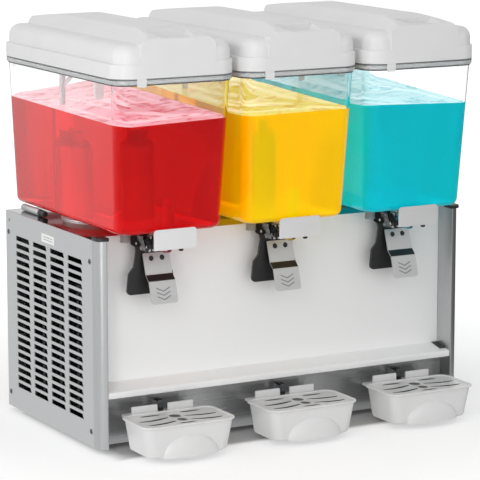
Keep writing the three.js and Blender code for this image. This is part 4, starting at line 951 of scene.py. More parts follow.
def thick(cells, axis, low, high):
    """Flat cells (outlines that share their corners) pushed along an axis as one sheet."""
    index, corners, flat = {}, [], []
    for cell in cells:
        face = []
        for point in cell:
            key = (round(point[0], 3), round(point[1], 3))
            if key not in index:
                index[key] = len(corners)
                corners.append(key)
            face.append(index[key])
        flat.append(tuple(face))
    count = len(corners)
    points = laid_out(corners, axis, low) + laid_out(corners, axis, high)
    faces = [face[::-1] for face in flat] + [tuple(i + count for i in face) for face in flat]
    edges = {(face[i], face[(i + 1) % len(face)]) for face in flat for i in range(len(face))}
    faces += [(a, b, b + count, a + count) for a, b in edges if (b, a) not in edges]
    return points, faces


def slotted_cells(ends, slots, low, high, base, step, rows, height, rake=0.0):
    """Cells of a sheet between two ends; slots are (start, end) pairs, in rows from base upwards."""
    levels = [low]
    for row in range(rows):
        levels += [base + step * row, base + step * row + height]
    levels.append(high)
    cells = []
    edge = ends[0]
    for start, end in slots:
        for k in range(len(levels) - 1):
            cells.append(box_outline(edge, start, levels[k], levels[k + 1]))
        for k in range(0, len(levels) - 1, 2):
            lower, upper = levels[k], levels[k + 1]
            foot = [(start, lower)] if k == 0 or not rake else [(start, lower), (start + rake, lower)]
            cells.append(foot + [(end, lower), (end, upper), (start, upper)])
            if rake and k + 2 < len(levels):
                cells.append([(start, upper), (start + rake, levels[k + 2]), (start, levels[k + 2])])
        edge = end
    for k in range(len(levels) - 1):
        cells.append(box_outline(edge, ends[1], levels[k], levels[k + 1]))
    return cells


side_cells = slotted_cells((SIDE_FRONT, SIDE_REAR), [(f, f + SLOT_LENGTH) for f in SLOT_FRONTS],
                           SIDE_LOW, SIDE_HIGH, SLOT_BASE, SLOT_STEP, SLOT_ROWS, SLOT_HEIGHT, SLOT_RAKE)
for side, word in ((-1, "left"), (1, "right")):
    low, high = sorted((side * (SIDE_FACE - SHEET), side * SIDE_FACE))
    show(f"side_sheet_{word}", thick(side_cells, "x", low, high), satin_steel, "cabinet", "satin_steel",
         (f"side_panel_{word}",), sharp=20)
    lip_outline = sheet_outline([(-side * a, b) for a, b in LIP_PATH], LIP_SHEET)
    lip = pushed(lip_outline, "y", SLOT_RAKE, SLOT_LENGTH)
    first_lip = (side * (SIDE_FACE - SHEET), SLOT_FRONTS[0], SLOT_BASE + SLOT_HEIGHT + LIP_SEAT)
    # Painted shade: the lips are matt black so that the slots look dark inside.
    lips = repeated(lip, shade_enamel, first_lip, SLOT_COLUMNS, (0, SLOT_PITCH, 0), SLOT_ROWS,
                    (0, 0, SLOT_STEP))
    show(f"side_lips_{word}", lips, shade_enamel, "cabinet", "satin_steel", sharp=30)
    first_screw = (side * SIDE_FACE, SIDE_SCREW_FRONT, SIDE_SCREW_LOW)
    screws = repeated(side_screw[side], dark_chrome, first_screw, 2, (0, SIDE_SCREW_SPAN, 0),
                      2, (0, 0, SIDE_SCREW_RISE), (1.5, 0, 0), seed=11 + side)
    show(f"side_screws_{word}", screws, dark_chrome, "cabinet", "zinc_steel", sharp=30)
print("slots in each side:", SLOT_COLUMNS * SLOT_ROWS)

# %% [markdown]
# ## Blank label and plugged hole
# A small white sticker sits half way along the top of the left side. It is left blank here, with two
# faint ruled lines. Near the top rear corner there is one small plugged hole.

# %% Label and hole plug
LABEL = (152.0, 197.0, 291.0, 304.0)
LABEL_CORNER = 1.5
LABEL_THICK = 0.25
RULE = (158.0, 191.0)
RULE_HEIGHTS = (295.0, 299.0)
RULE_WIDTH = 0.8
RULE_SPAN = (-SIDE_FACE - 0.35, -SIDE_FACE - 0.2)
PLUG_PLACE = (-SIDE_FACE, 317.0, 306.0)

label_sheet = pushed(rounded(box_outline(*LABEL), LABEL_CORNER), "x", -SIDE_FACE - LABEL_THICK, -SIDE_FACE)
show("side_label", label_sheet, label_paper, "cabinet", "satin_steel")
rules = [pushed(box_outline(*RULE, z, z + RULE_WIDTH), "x", *RULE_SPAN) for z in RULE_HEIGHTS]
show("side_label_lines", together(*rules), etch_ink, "cabinet", "satin_steel")
plug = turned([(0, 0), (2.6, 0), (2.2, -0.45), (0, -0.6)], PLUG_PLACE, "x", steps=20)
show("side_hole_plug", plug, etch_ink, "cabinet", "satin_steel")
print("label is", LABEL[1] - LABEL[0], "mm wide and blank")

# %% [markdown]
# ## Pillars and their caps
# A pillar is a sheet rolled to a quarter round at the front, open to the cabinet. Its black nylon
# cap drops into the top and overhangs by a millimetre, which hides the cut edge.

# %% Pillars and caps
PILLAR_INNER = 300.0
PILLAR_NOSE = 15.0
PILLAR_DEPTH = 50.0
CAP_BOX = (297.5, 316.0, -1.0, 21.0)
CAP_LEVELS = (320.3, 324.0)
CAP_MIDDLE = (307.0, 10.0)
CAP_CROWN_SHARES = ((0.985, 324.8), (0.95, 325.2), (0.88, 325.3))
CAP_PLUG_BOX = (302.2, 313.0, 2.2, 18.5)
CAP_PLUG_SHARE = 0.78
CAP_PLUG_LEVELS = (312.0, 320.4)

pillar_path = [(PILLAR_INNER, PILLAR_DEPTH), (PILLAR_INNER, 1.0), (PILLAR_INNER + 0.3, 0.3),
               (PILLAR_INNER + 1.0, 0.0)]
pillar_path += arc(PILLAR_INNER, PILLAR_NOSE, PILLAR_NOSE, -84, 0, 14) + [(SIDE_FACE, 20.0)]
pillar_outline = sheet_outline(pillar_path, SHEET)
cap_outline = rounded(box_outline(*CAP_BOX), [1.0, 15.0, 1.0, 1.0], steps=8)
plug_outline = rounded(box_outline(*CAP_PLUG_BOX), [0.5, 10.0, 0.5, 0.5], steps=8)


def shrunk(outline, centre, share):
    """The outline drawn in towards a centre."""
    return [(centre[0] + (a - centre[0]) * share, centre[1] + (b - centre[1]) * share) for a, b in outline]


def mirrored(outline, side):
    """The outline on the side's half of the cabinet."""
    return [(side * a, b) for a, b in outline]


for side, word in ((-1, "left"), (1, "right")):
    pillar = pushed(mirrored(pillar_outline, side), "z", SIDE_LOW, SIDE_HIGH)
    show(f"pillar_skin_{word}", pillar, pillar_steel, "cabinet", "satin_steel", (f"pillar_{word}",),
         sharp=40)
    rings = [laid_out(mirrored(cap_outline, side), "z", z) for z in CAP_LEVELS]
    rings += [laid_out(mirrored(shrunk(cap_outline, CAP_MIDDLE, share), side), "z", z)
              for share, z in CAP_CROWN_SHARES]
    inner = mirrored(shrunk(plug_outline, (CAP_PLUG_BOX[0], CAP_PLUG_BOX[2]), CAP_PLUG_SHARE), side)
    cap_mesh = cut(form(skin(rings)), pushed(inner, "z", *CAP_PLUG_LEVELS), how="UNION")
    show(f"pillar_cap_skin_{word}", cap_mesh, black_nylon, "cabinet", "black_plastic",
         (f"pillar_cap_{word}",), sharp=40)
print("pillar nose radius:", PILLAR_NOSE, "mm")

# %% [markdown]
# ## Front and lower panels
# The brushed front sheet runs down, folds out over the trays as an apron and ends in a returned
# lip, so it is one bent outline pushed across the cabinet. A black wedge at the apron's right end is
# painted shade for the dark gap there. Behind the trays is a buffed sheet, darker as painted shade
# under the apron, with a folded hook for each tray.

# %% Front and lower panels
PANEL_HALF = 299.7
FRONT_PATH = ((38.0, 320.0), (38.0, 100.0), (2.0, 92.5), (2.0, 83.0), (26.7, 83.0))
FRONT_BENDS = [0, 2.5, 2.2, 1.8, 0]
LOWER_BOX = (27.0, 28.5, 8.3, 94.5)
SHADE_WEDGE_SIDE = ((12.0, 94.9), (36.5, 100.0), (36.5, 101.2), (12.0, 96.1))
SHADE_WEDGE_REACH = (11.0, 0.3)
HOOK_PATH = ((27.6, 72.0), (8.0, 72.0), (8.0, 52.3))
HOOK_BEND = 3.0
HOOK_HALF = 4.0
HOOK_RIB_BOX = (9.4, 27.4, 68.0, 70.6)
HOOK_RIB_HALF = 2.6

front_outline = sheet_outline(rounded(FRONT_PATH, FRONT_BENDS, steps=5, closed=False), SHEET)
show("front_sheet", pushed(front_outline, "x", -PANEL_HALF, PANEL_HALF), front_steel, "cabinet",
     "brushed_steel", ("front_panel",), sharp=30)
show("lower_sheet", pushed(box_outline(*LOWER_BOX), "x", -PANEL_HALF, PANEL_HALF), lower_steel_shaded, "cabinet",
     "mirror_steel", ("lower_panel",), edge_mm=0.3)
# Painted shade: a black wedge at the apron's right end, where the gap to the pillar lies dark.
end_shade = pushed(SHADE_WEDGE_SIDE, "x", *(PANEL_HALF - reach for reach in SHADE_WEDGE_REACH))
show("apron_end_shade", end_shade, black_nylon, "cabinet", "black_plastic")
hook_outline = sheet_outline(rounded(HOOK_PATH, [0, HOOK_BEND, 0], steps=5, closed=False), SHEET)
hook = pushed(hook_outline, "x", -HOOK_HALF, HOOK_HALF)
hook_rib = pushed(box_outline(*HOOK_RIB_BOX), "x", -HOOK_RIB_HALF, HOOK_RIB_HALF)
hooks = [moved(part, x) for x in STATIONS.values() for part in (hook, hook_rib)]
show("tray_hooks", together(*hooks), dark_chrome, "cabinet", "mirror_steel", edge_mm=0.35)
print("front sheet is", 2 * PANEL_HALF, "mm wide")

# %% [markdown]
# ## Back panel
# The back sheet is made like the sides, with three banks of long vents. Each vent has a hood pressed
# outwards over it, which keeps drips out, and a black sheet behind each bank is painted shade. The
# vents and the screws stand in rows, so the node tree repeats one of each.

# %% Back panel with hooded vents
BACK_HALF = 313.2
BACK_LOW = 8.3
BACK_FACE = 330.0
VENT_LENGTH = 90.0
VENT_HEIGHT = 8.0
VENT_ROWS = 9
VENT_STEP = 20.0
VENT_BASE = 90.0
VENT_PITCH = 120.0
VENT_STARTS = [-225.0 + VENT_PITCH * bank for bank in range(3)]
HOOD_PATH = ((0.0, 9.0), (1.8, 8.6), (3.8, 6.4), (4.6, 3.4), (4.6, 1.0))
HOOD_SHEET = 0.8
BACK_SCREW_PLACE = (-303.0, BACK_FACE, 20.0)
BACK_SCREW_SPAN, BACK_SCREW_RISE = 202.0, 144.0
VENT_SHADE_MARGIN = 2.0
VENT_SHADE_LEVELS = (86.0, 262.0)
VENT_SHADE_DEPTHS = (327.5, 328.3)
INLET_X = 235.0
INLET_Z = 60.0
INLET_HOLE = (17.4, 32.4)


def inlet_box(half_width, half_height):
    """A rectangle round the middle of the power inlet."""
    return box_outline(INLET_X - half_width, INLET_X + half_width,
                       INLET_Z - half_height, INLET_Z + half_height)


back_cells = slotted_cells((-BACK_HALF, BACK_HALF), [(a, a + VENT_LENGTH) for a in VENT_STARTS],
                           BACK_LOW, SIDE_HIGH, VENT_BASE, VENT_STEP, VENT_ROWS, VENT_HEIGHT)
back_mesh = cut(form(thick(back_cells, "y", BACK_FACE - SHEET, BACK_FACE)),
                pushed(inlet_box(*INLET_HOLE), "y", BACK_FACE - 4, BACK_FACE + 3))
show("back_sheet", back_mesh, satin_steel, "cabinet", "satin_steel", ("back_panel",), sharp=20)
hood = pushed(sheet_outline(HOOD_PATH, -HOOD_SHEET), "x", 0.0, VENT_LENGTH)
first_hood = (VENT_STARTS[0], BACK_FACE - 0.1, VENT_BASE)
hoods = repeated(hood, satin_steel, first_hood, len(VENT_STARTS), (VENT_PITCH, 0, 0), VENT_ROWS,
                 (0, 0, VENT_STEP))
show("vent_hoods", hoods, satin_steel, "cabinet", "satin_steel", sharp=30)
rear_screws = repeated(back_screw, chrome, BACK_SCREW_PLACE, 4, (BACK_SCREW_SPAN, 0, 0), 3,
                       (0, 0, BACK_SCREW_RISE), (0, 1.5, 0), seed=23)
show("back_screws", rear_screws, chrome, "cabinet", "zinc_steel", sharp=30)
# Painted shade: black sheets behind the vent banks keep the inside dark.
vent_shades = [pushed(box_outline(a - VENT_SHADE_MARGIN, a + VENT_LENGTH + VENT_SHADE_MARGIN, *VENT_SHADE_LEVELS), "y",
                  *VENT_SHADE_DEPTHS) for a in VENT_STARTS]
show("vent_shade_sheets", together(*vent_shades), shade_enamel, "cabinet", "satin_steel")
print("vents:", len(VENT_STARTS) * VENT_ROWS)

# %% [markdown]
# ## Power inlet and rocker
# The inlet is a black nylon bezel with a three-pin socket and a rocker above it. The socket has two
# clipped corners so that a plug fits one way only. The rocker carries the usual bar and ring.

# %% Inlet, pins and rocker
BEZEL_HALF = (21.0, 36.0)
BEZEL_LEVELS = ((330.3, 0.0), (332.2, 0.0), (332.8, 0.6))
BEZEL_CORNER = 4.0
BODY_HALF = (17.0, 32.0)
BODY_DEPTHS = (308.8, 330.8)
SOCKET_SHAPE = ((-12, 36.0), (12, 36.0), (12, 47.0), (7.5, 52.0), (-7.5, 52.0), (-12, 47.0))
SOCKET_FLOOR = 316.8
POCKET_HALF = 9.6
POCKET_LEVELS = (62.4, 85.6)
POCKET_FLOOR = 320.8
PIN_PLACES = ((0, 41.0), (-7, 46.0), (7, 46.0))
PIN_HALF = (1.0, 2.0)
PIN_DEPTHS = (316.5, 330.5)
ROCKER_HALF = 9.0
ROCKER_SIDE = ((324.8, 66.1), (334.8, 63.3), (333.0, 74.0), (332.6, 84.6), (324.8, 81.9))
ROCKER_BENDS = [0.6, 1.2, 4.0, 1.2, 0.6]
BAR = (77.2, 81.4)
BAR_DEPTHS = (332.4, 333.15)
RING_PLACE = (INLET_X, 333.75, 68.2)
RING_TILT = -0.168

bezel_rings = []
for y, inset in BEZEL_LEVELS:
    bezel_outline = rounded(inlet_box(*(half - inset for half in BEZEL_HALF)), BEZEL_CORNER)
    bezel_rings.append(laid_out(bezel_outline, "y", y))
socket_outline = rounded([(INLET_X + x, z) for x, z in SOCKET_SHAPE], 1.2, steps=3)
pocket_outline = box_outline(INLET_X - POCKET_HALF, INLET_X + POCKET_HALF, *POCKET_LEVELS)
inlet_mesh = cut(form(skin(bezel_rings)), pushed(inlet_box(*BODY_HALF), "y", *BODY_DEPTHS), how="UNION")
inlet_mesh = cut(inlet_mesh, pushed(socket_outline, "y", SOCKET_FLOOR, BACK_FACE + 4),
                 pushed(pocket_outline, "y", POCKET_FLOOR, BACK_FACE + 4))
show("inlet_bezel", inlet_mesh, black_nylon, "cabinet", "black_plastic", ("inlet_housing",), sharp=35)
pins = []
for x, z in PIN_PLACES:
    width, height = PIN_HALF
    pin_outline = box_outline(INLET_X + x - width, INLET_X + x + width, z - height, z + height)
    pins.append(pushed(rounded(pin_outline, 0.4, steps=2), "y", *PIN_DEPTHS))
show("inlet_pins", together(*pins), brass, "cabinet", "zinc_steel", edge_mm=0.2)
paddle = pushed(rounded(ROCKER_SIDE, ROCKER_BENDS, 4), "x", INLET_X - ROCKER_HALF, INLET_X + ROCKER_HALF)
show("rocker_paddle", paddle, black_nylon, "rocker_unit", "black_plastic", ("rocker_switch",), edge_mm=0.6,
     segments=3)
bar = pushed(box_outline(INLET_X - 0.5, INLET_X + 0.5, *BAR), "y", *BAR_DEPTHS)
ring_points, ring_faces = turned([(1.5, 0), (2.3, 0), (2.3, 0.5), (1.5, 0.5), (1.5, 0)], (0, 0, 0), "y", 24)
ring = moved(([(x, y + z * RING_TILT, z) for x, y, z in ring_points], ring_faces), *RING_PLACE)
show("rocker_marks", together(bar, ring), label_paper, "rocker_unit", "black_plastic")
print("pins:", len(PIN_PLACES))

# %% [markdown]
# ## Deck, pan, cooling set, feet and drain
# The polished deck, the pan and the cooling set behind the louvres keep the solids of the frame and
# get a finish; the pan is black, as painted shade under the cabinet. The feet are turned nylon with a
# waist. The drain is a steel tube with rounded ends that lies on the deck, with a black plug in front.

# %% Finishes for the solids that stay
# Painted shade: the base pan is black, for the shade under the cabinet.
KEPT = {"top_deck": mirror_steel, "base_pan": black_enamel_and_pan_shade, "compressor": black_enamel_and_pan_shade,
        "condenser": black_enamel_and_pan_shade, "fan_shroud": zinc_steel, "fan_motor": zinc_steel,
        "condenser_fan": black_nylon}
for number in STATIONS:
    KEPT[f"impeller_{number}"] = lid_plastic
    KEPT[f"seal_ring_{number}"] = seal_rubber
for node_name, finish in KEPT.items():
    dress(node_name, finish)
print("solids kept:", len(KEPT))

# %% Feet and drain
FOOT_X = 281.0
FOOT_ROWS = {"front": 61.0, "rear": 296.0}
FOOT_PROFILE = [(0, 0), (9.6, 0), (11.2, 0.8), (11.6, 2.2), (12.6, 3.6), (13.6, 5.0), (14.0, 6.4),
                (13.6, 7.6), (12.8, 8.0), (0, 8.0)]
DRAIN_X = -293.0
DRAIN_Z = 325.6
DRAIN_PROFILE = [(3.6, 250.0), (3.6, 310.0), (5.0, 310.0), (5.3, 309.6), (5.3, 258.4), (5.3, 250.4),
                 (5.0, 250.0), (3.6, 250.0)]
PLUG_PROFILE = [(0, 229.7), (3.6, 229.7), (4.6, 230.8), (4.9, 233.0), (4.9, 240.6), (4.3, 241.2),
                (4.3, 243.0), (4.9, 243.6), (4.9, 249.7), (0, 249.7)]

for x, side in ((-FOOT_X, "left"), (FOOT_X, "right")):
    for end, y in FOOT_ROWS.items():
        foot = turned(FOOT_PROFILE, (x, y, 0), "z", steps=40)
        show(f"foot_turned_{end}_{side}", foot, black_nylon, "cabinet", "black_plastic",
             (f"foot_{end}_{side}",), sharp=40)
show("drain_pipe", turned(DRAIN_PROFILE, (DRAIN_X, 0, DRAIN_Z), "y", steps=36), plate_steel, "cabinet",
     "brushed_steel", ("drain_tube",), sharp=40)
show("drain_plug", turned(PLUG_PROFILE, (DRAIN_X, 0, DRAIN_Z), "y", steps=36), black_nylon, "cabinet",
     "black_plastic", ("drain_cap",), sharp=35)
print("drain is", DRAIN_PROFILE[1][1] - PLUG_PROFILE[0][1], "mm long")

# %% [markdown]
# ## Tanks
# A tank is a tapering bowl with round corners, a small fillet at the floor and a rolled rim. It is a
# skin through rings that runs up the outside, over the rim and down the inside, so it is one closed
# wall about 3 mm thick. Two holes go through its floor: one for the cold drum, one for the valve.

# %% Tank rings
TANK_LOW = 331.0
TANK_RIM_LOW = 552.2
TANK_RIM_TOP = 560.7
TANK_WALL = 3.0
TANK_CORNER = 24.0
TANK_FILLET = 10.0
TANK_HALF, TANK_HALF_DRAFT = 86.0, 9.0
TANK_FRONT, TANK_FRONT_DRAFT = -34.0, 16.0
TANK_REAR, TANK_REAR_DRAFT = 346.0, 4.0
LEAST_CORNER = 1.5
RIM_ROLL = ((0.0, -1.5), (-0.9, -0.3), (-2.4, 0.4), (-3.0, 1.4))
RIM_EDGE = ((-3.0, -1.0), (-2.0, 0.0), (TANK_WALL - 0.6, 0.0), (TANK_WALL, -0.6))
DRUM_Y = 200.0
DRUM_RADIUS = 52.0
DRUM_GAP = 1.5
STEM_Y = -12.0
STEM_RADIUS = 9.0
STEM_GAP = 0.4
FLOOR_CUT = (320, 340)


def tank_ring(inset, z, steps=10):
    """One level of the tank; a negative inset is further out."""
    share = (z - TANK_LOW) / (TANK_RIM_LOW - TANK_LOW)
    half = TANK_HALF + TANK_HALF_DRAFT * share - inset
    front = TANK_FRONT - TANK_FRONT_DRAFT * share + inset
    rear = TANK_REAR + TANK_REAR_DRAFT * share - inset
    return vessel_ring(half, front, rear, max(TANK_CORNER - inset, LEAST_CORNER), z, steps)


def fillet_levels(inset, z, radius, steps=6):
    """Insets and heights along a quarter round from a floor at z up to the wall."""
    turns = [math.radians(90 * k / steps) for k in range(steps + 1)]
    return [(inset + radius * (1 - math.sin(t)), z + radius * (1 - math.cos(t))) for t in turns]


def round_bar(radius, y, low, high, steps):
    """An upright round bar behind or in front of the middle of a station, to cut or to fill."""
    return turned([(0, low), (radius, low), (radius, high), (0, high)], (0, y, 0), "z", steps)


tank_levels = fillet_levels(0.0, TANK_LOW, TANK_FILLET)
tank_levels += [(inset, TANK_RIM_LOW + rise) for inset, rise in RIM_ROLL]
tank_levels += [(inset, TANK_RIM_TOP + rise) for inset, rise in RIM_EDGE]
tank_levels += fillet_levels(TANK_WALL, TANK_LOW + TANK_WALL, TANK_FILLET - TANK_WALL)[::-1]
tank_mesh = form(skin([tank_ring(inset, z) for inset, z in tank_levels]))
tank_mesh = cut(tank_mesh, round_bar(DRUM_RADIUS + DRUM_GAP, DRUM_Y, *FLOOR_CUT, 64),
                round_bar(STEM_RADIUS + STEM_GAP, STEM_Y, *FLOOR_CUT, 32))
show_at_stations("tank_bowl", tank_mesh, bowl_plastic, "tank_unit_{}", "clear_plastic", "tank", sharp=50)
print("tank is", TANK_RIM_TOP - TANK_LOW, "mm high")

# %% [markdown]
# ## Rim shade line, light band and shade bead
# Three thin loops follow the rim: a grey line where the lid rests on it and a darker bead where the
# wall meets the roll are painted shade, and a pale frosted band is painted light gathered in the
# rolled edge. Each is a skin round the tank between two insets, so that it keeps the tank's own
# corners.

# %% Loops round the rim
def loop_strip(outer, inner, low, high):
    """A closed band round the tank between two insets."""
    turns = ((outer, low), (outer, high), (inner, high), (inner, low), (outer, low))
    return skin([tank_ring(inset, z) for inset, z in turns], False, False)


RIM_LOOPS = {
    # Painted shade: the line where the lid meets the rim.
    "rim_shade_line": ((-3.1, -1.6, 559.3, 560.9), rim_shade_grey),
    # Painted light: a pale band where light gathers in the rolled edge.
    "rim_light_band": ((-3.35, -3.05, 553.4, 558.6), frosted_plastic_and_rim_light),
    # Painted shade: a darker bead where the wall meets the roll.
    "rim_shade_bead": ((-1.4, -0.2, 550.6, 552.2), oval_grey_and_rim_shade),
}
for loop_name, (extents, finish) in RIM_LOOPS.items():
    show_at_stations(loop_name, loop_strip(*extents), finish, "tank_unit_{}", "clear_plastic")
print("rim loops:", ", ".join(RIM_LOOPS))

# %% [markdown]
# ## Juice in the tanks
# The juice fills the tank to about two thirds. Its sides sit half a millimetre inside the tank's
# wall, so that no air shows between them, and the drum stands in a well. The spray keeps the
# surface moving, so it is a fan of rings lifted by a few sine waves with fixed phases.

# %% Juice with a moving surface
JUICE_LEVEL = 495.0
JUICE_BITE = 0.5
JUICE_WALL_LEVELS = (380.0, 430.0, 470.0)
JUICE_RINGS = 22
JUICE_MIDDLE = (0.0, 155.0)
WAVES = ((0.061, 0.013, 0.4, 1.5), (-0.034, 0.041, 2.1, 1.3), (0.018, -0.029, 4.0, 1.6),
         (0.11, 0.07, 1.2, 0.6))
STATION_PHASE = 1.7
SPLASH_PLACE = (-41.0, 176.0)
SPLASH_HEIGHT, SPLASH_REACH, SPLASH_STEP = 2.2, 60.0, 5.5
WELL_PROFILE = [(0, 320), (DRUM_RADIUS - 0.4, 320), (DRUM_RADIUS - 0.4, 433), (DRUM_RADIUS - 7.3, 439.7),
                (0, 439.7)]


def ripple(x, y, station):
    """Height of the surface over its level, in millimetres."""
    phase = STATION_PHASE * station
    lift = sum(h * math.sin(a * x + b * y + c + phase) for a, b, c, h in WAVES)
    away = math.hypot(x - SPLASH_PLACE[0], y - SPLASH_PLACE[1])
    return lift + SPLASH_HEIGHT * math.exp(-away / SPLASH_REACH) * math.sin(away / SPLASH_STEP + phase)


def juice_part(station):
    """The juice of one tank: walls from the fillet up, then rings that close in on the middle."""
    inset = TANK_WALL - JUICE_BITE
    rings = [tank_ring(a, z) for a, z in fillet_levels(inset, TANK_LOW + inset, TANK_FILLET - inset)]
    rings += [tank_ring(inset, z) for z in JUICE_WALL_LEVELS]
    edge = [(x, y) for x, y, z in tank_ring(inset, JUICE_LEVEL)]
    for k in range(JUICE_RINGS):
        flat = shrunk(edge, JUICE_MIDDLE, 1 - k / JUICE_RINGS)
        rings.append([(x, y, JUICE_LEVEL + ripple(x, y, station)) for x, y in flat])
    points, faces = skin(rings, high_cap=False)
    count = len(edge)
    last = (len(rings) - 1) * count
    points.append((*JUICE_MIDDLE, JUICE_LEVEL + ripple(*JUICE_MIDDLE, station)))
    faces += [(last + i, last + (i + 1) % count, len(points) - 1) for i in range(count)]
    return points, faces


for number, x in STATIONS.items():
    mesh = cut(form(juice_part(number)), turned(WELL_PROFILE, (0, DRUM_Y, 0), "z", steps=64))
    mesh.transform(Matrix.Translation((x * MM, 0, 0)))
    show(f"juice_{number}", mesh, JUICES[number], f"tank_unit_{number}", None, sharp=50)
print("juice level:", JUICE_LEVEL, "mm")

# %% [markdown]
# ## Cold drum and spray tube
# The drum is deep-drawn stainless with a foot flange, a round shoulder and a stem for the impeller.
# The spray tube is a frosted riser whose fork throws juice against the tank's wall. Both are turned,
# and the fork is a tube along a few points that is joined on.

# %% Drum and spray tube
DRUM_FOOT = 320.3
SHOULDER_CENTRE = (44.0, 432.0)
SHOULDER_RADIUS = 8.0
drum_profile = [(64.0, DRUM_FOOT), (64.0, 322.0), (63.2, 322.8), (53.5, 322.8), (DRUM_RADIUS, 324.3),
                (DRUM_RADIUS, 431.5)]
drum_profile += arc(*SHOULDER_CENTRE, SHOULDER_RADIUS, 15, 90, 5)
drum_profile += [(5.0, 440.0), (5.0, 459.0), (4.0, 460.0), (0, 460.0)]
drum_inner = [(0, 438.0), (43.0, 438.0), (50.0, 431.0), (50.0, DRUM_FOOT)]
drum_mesh = form(turned(drum_inner + drum_profile, (0, DRUM_Y, 0), "z", steps=72))
show_at_stations("drum_shell", drum_mesh, drum_steel, "cabinet", "brushed_steel", "cold_drum", sharp=40)

SPRAY_X = -65.0
FORK_RADIUS = 3.15
RISER_PROFILE = [(0, 334.3), (7.0, 334.3), (7.0, 337.6), (6.4, 338.3), (4.5, 338.3), (4.5, 545.0),
                 (4.0, 546.0), (2.6, 546.0), (2.6, 340.0), (0, 340.0)]
FORK_STEPS = ((0.0, 522.0), (2.5, 525.5), (8.0, 533.5), (12.0, 539.0), (17.5, 543.8), (24.0, 546.0))
fork_path = [(SPRAY_X + reach, DRUM_Y - reach, z) for reach, z in FORK_STEPS]
riser = form(turned(RISER_PROFILE, (SPRAY_X, DRUM_Y, 0), "z", steps=24))
riser = cut(riser, tube(fork_path, FORK_RADIUS), how="UNION")
show_at_stations("spray_riser", riser, frosted_plastic_and_rim_light, "tank_unit_{}", "clear_plastic", "spray_tube",
                 sharp=40)
print("drum is", 440.0 - DRUM_FOOT, "mm high")

# %% [markdown]
# ## Yoke and sleeve
# The lever hangs from a matt black yoke: a flat bar with two ears and a pin between them, with a
# round clearance for the valve. A bright pin end shows at its left, and a black tab peeps out under
# the cover. Inside the tank, a white sleeve guides the valve's plunger. Each is a short boolean or a
# turned profile, drawn at the middle station.

# %% Sleeve, pin end, tab and yoke
SLEEVE_PROFILE = [(0, 334.05), (STEM_RADIUS, 334.05), (STEM_RADIUS, 376.6), (8.0, 378.0), (0, 378.0)]
PIN_Y, PIN_Z = 16.0, 314.0
PIN_END_PLACE = (0, 2.0, 313.0)
PIN_END_PROFILE = [(0, -43.0), (1.5, -43.0), (2.0, -42.5), (2.0, -41.0), (0, -41.0)]
TAB_BOX = (8.0, 14.0, 303.6, 308.6)
TAB_DEPTHS = (-39.6, -36.0)
LEFT_EAR, RIGHT_EAR = (-41.8, -37.8), (13.8, 17.8)
YOKE_SPAN = (-5.0, 25.0)
YOKE_LEVELS = (322.7, 326.6)
EAR_SIDE = ((-5.0, 326.6), (-5.0, 309.5), (6.0, 306.5), (20.0, 308.0), (25.0, 315.0), (25.0, 326.6))
EAR_BENDS = [0, 2.0, 3.0, 3.0, 3.0, 0]
YOKE_PIN_PROFILE = [(0, -38.5), (2.2, -38.5), (2.2, 14.5), (0, 14.5)]
VALVE_CLEARANCE = 27.6
CLEARANCE_LEVELS = (300.0, 330.0)

sleeve = turned(SLEEVE_PROFILE, (0, STEM_Y, 0), "z", steps=32)
show_at_stations("plunger_sleeve", sleeve, lid_plastic, "tank_unit_{}", "clear_plastic", sharp=40)
pin_end = turned(PIN_END_PROFILE, PIN_END_PLACE, "x", steps=20)
show_at_stations("yoke_pin", pin_end, plate_steel, "tank_unit_{}", "brushed_steel")
cover_tab = pushed(rounded(box_outline(*TAB_BOX), [1.2, 1.2, 0, 0], steps=3), "y", *TAB_DEPTHS)
show_at_stations("cover_tab", cover_tab, black_nylon, "tank_unit_{}", "black_plastic")
ear_outline = rounded(EAR_SIDE, EAR_BENDS, steps=5)
yoke_bar = pushed(box_outline(*YOKE_SPAN, *YOKE_LEVELS), "x", LEFT_EAR[0], RIGHT_EAR[1])
yoke_mesh = cut(form(yoke_bar), turned(YOKE_PIN_PROFILE, (0, PIN_Y, PIN_Z), "x", steps=20),
                pushed(ear_outline, "x", *LEFT_EAR), pushed(ear_outline, "x", *RIGHT_EAR), how="UNION")
yoke_mesh = cut(yoke_mesh, round_bar(VALVE_CLEARANCE, STEM_Y, *CLEARANCE_LEVELS, 48))
show_at_stations("valve_yoke", yoke_mesh, matt_nylon, "tank_unit_{}", "black_plastic", edge_mm=0.3)
print("yoke is", RIGHT_EAR[1] - LEFT_EAR[0], "mm wide")

# %% [markdown]
# ## Valve
# Under each tank hangs a clear valve: a funnel with moulded fins round it, a nozzle, a boss that
# reaches forwards to the cover and a hollow cheek at its left. The fins are one outline, pushed and
# turned about the stem by a loop, at angles that keep them off the boss. A ribbed knob of smoky
# plastic sits beside it.

# %% Valve body and knob
FUNNEL_PROFILE = [(0, 299.0), (7.2, 299.0), (8.0, 299.8), (8.0, 304.6), (9.0, 305.4), (11.0, 305.8),
                  (13.4, 308.4), (26.2, 325.4), (27.0, 326.7), (18.0, 326.9), (18.0, 330.2), (17.4, 330.7),
                  (STEM_RADIUS, 330.7), (STEM_RADIUS, 334.0), (0, 334.0)]
FIN_SIDE = ((8.4, 305.5), (12.4, 305.5), (28.4, 325.6), (28.4, 326.6), (20.0, 326.6))
FIN_HALF = 0.8
FIN_TURNS = (15, 45, 75, 105, 160, 180, 200, 220, 255, 285, 315, 345)
BOSS_HALF = 14.0
BOSS_SPAN = (-40.0, STEM_Y)
BOSS_LEVELS = (314.7, 326.5)
CHEEK_SIDE = ((-44.0, 326.6), (-37.5, 303.5), (-31.0, 303.5), (-26.0, 326.6))
CHEEK_DEPTHS = (-22.0, -2.0)
HOLLOW_SIDE = ((-41.6, 328.0), (-35.9, 305.4), (-32.5, 305.4), (-28.4, 328.0))
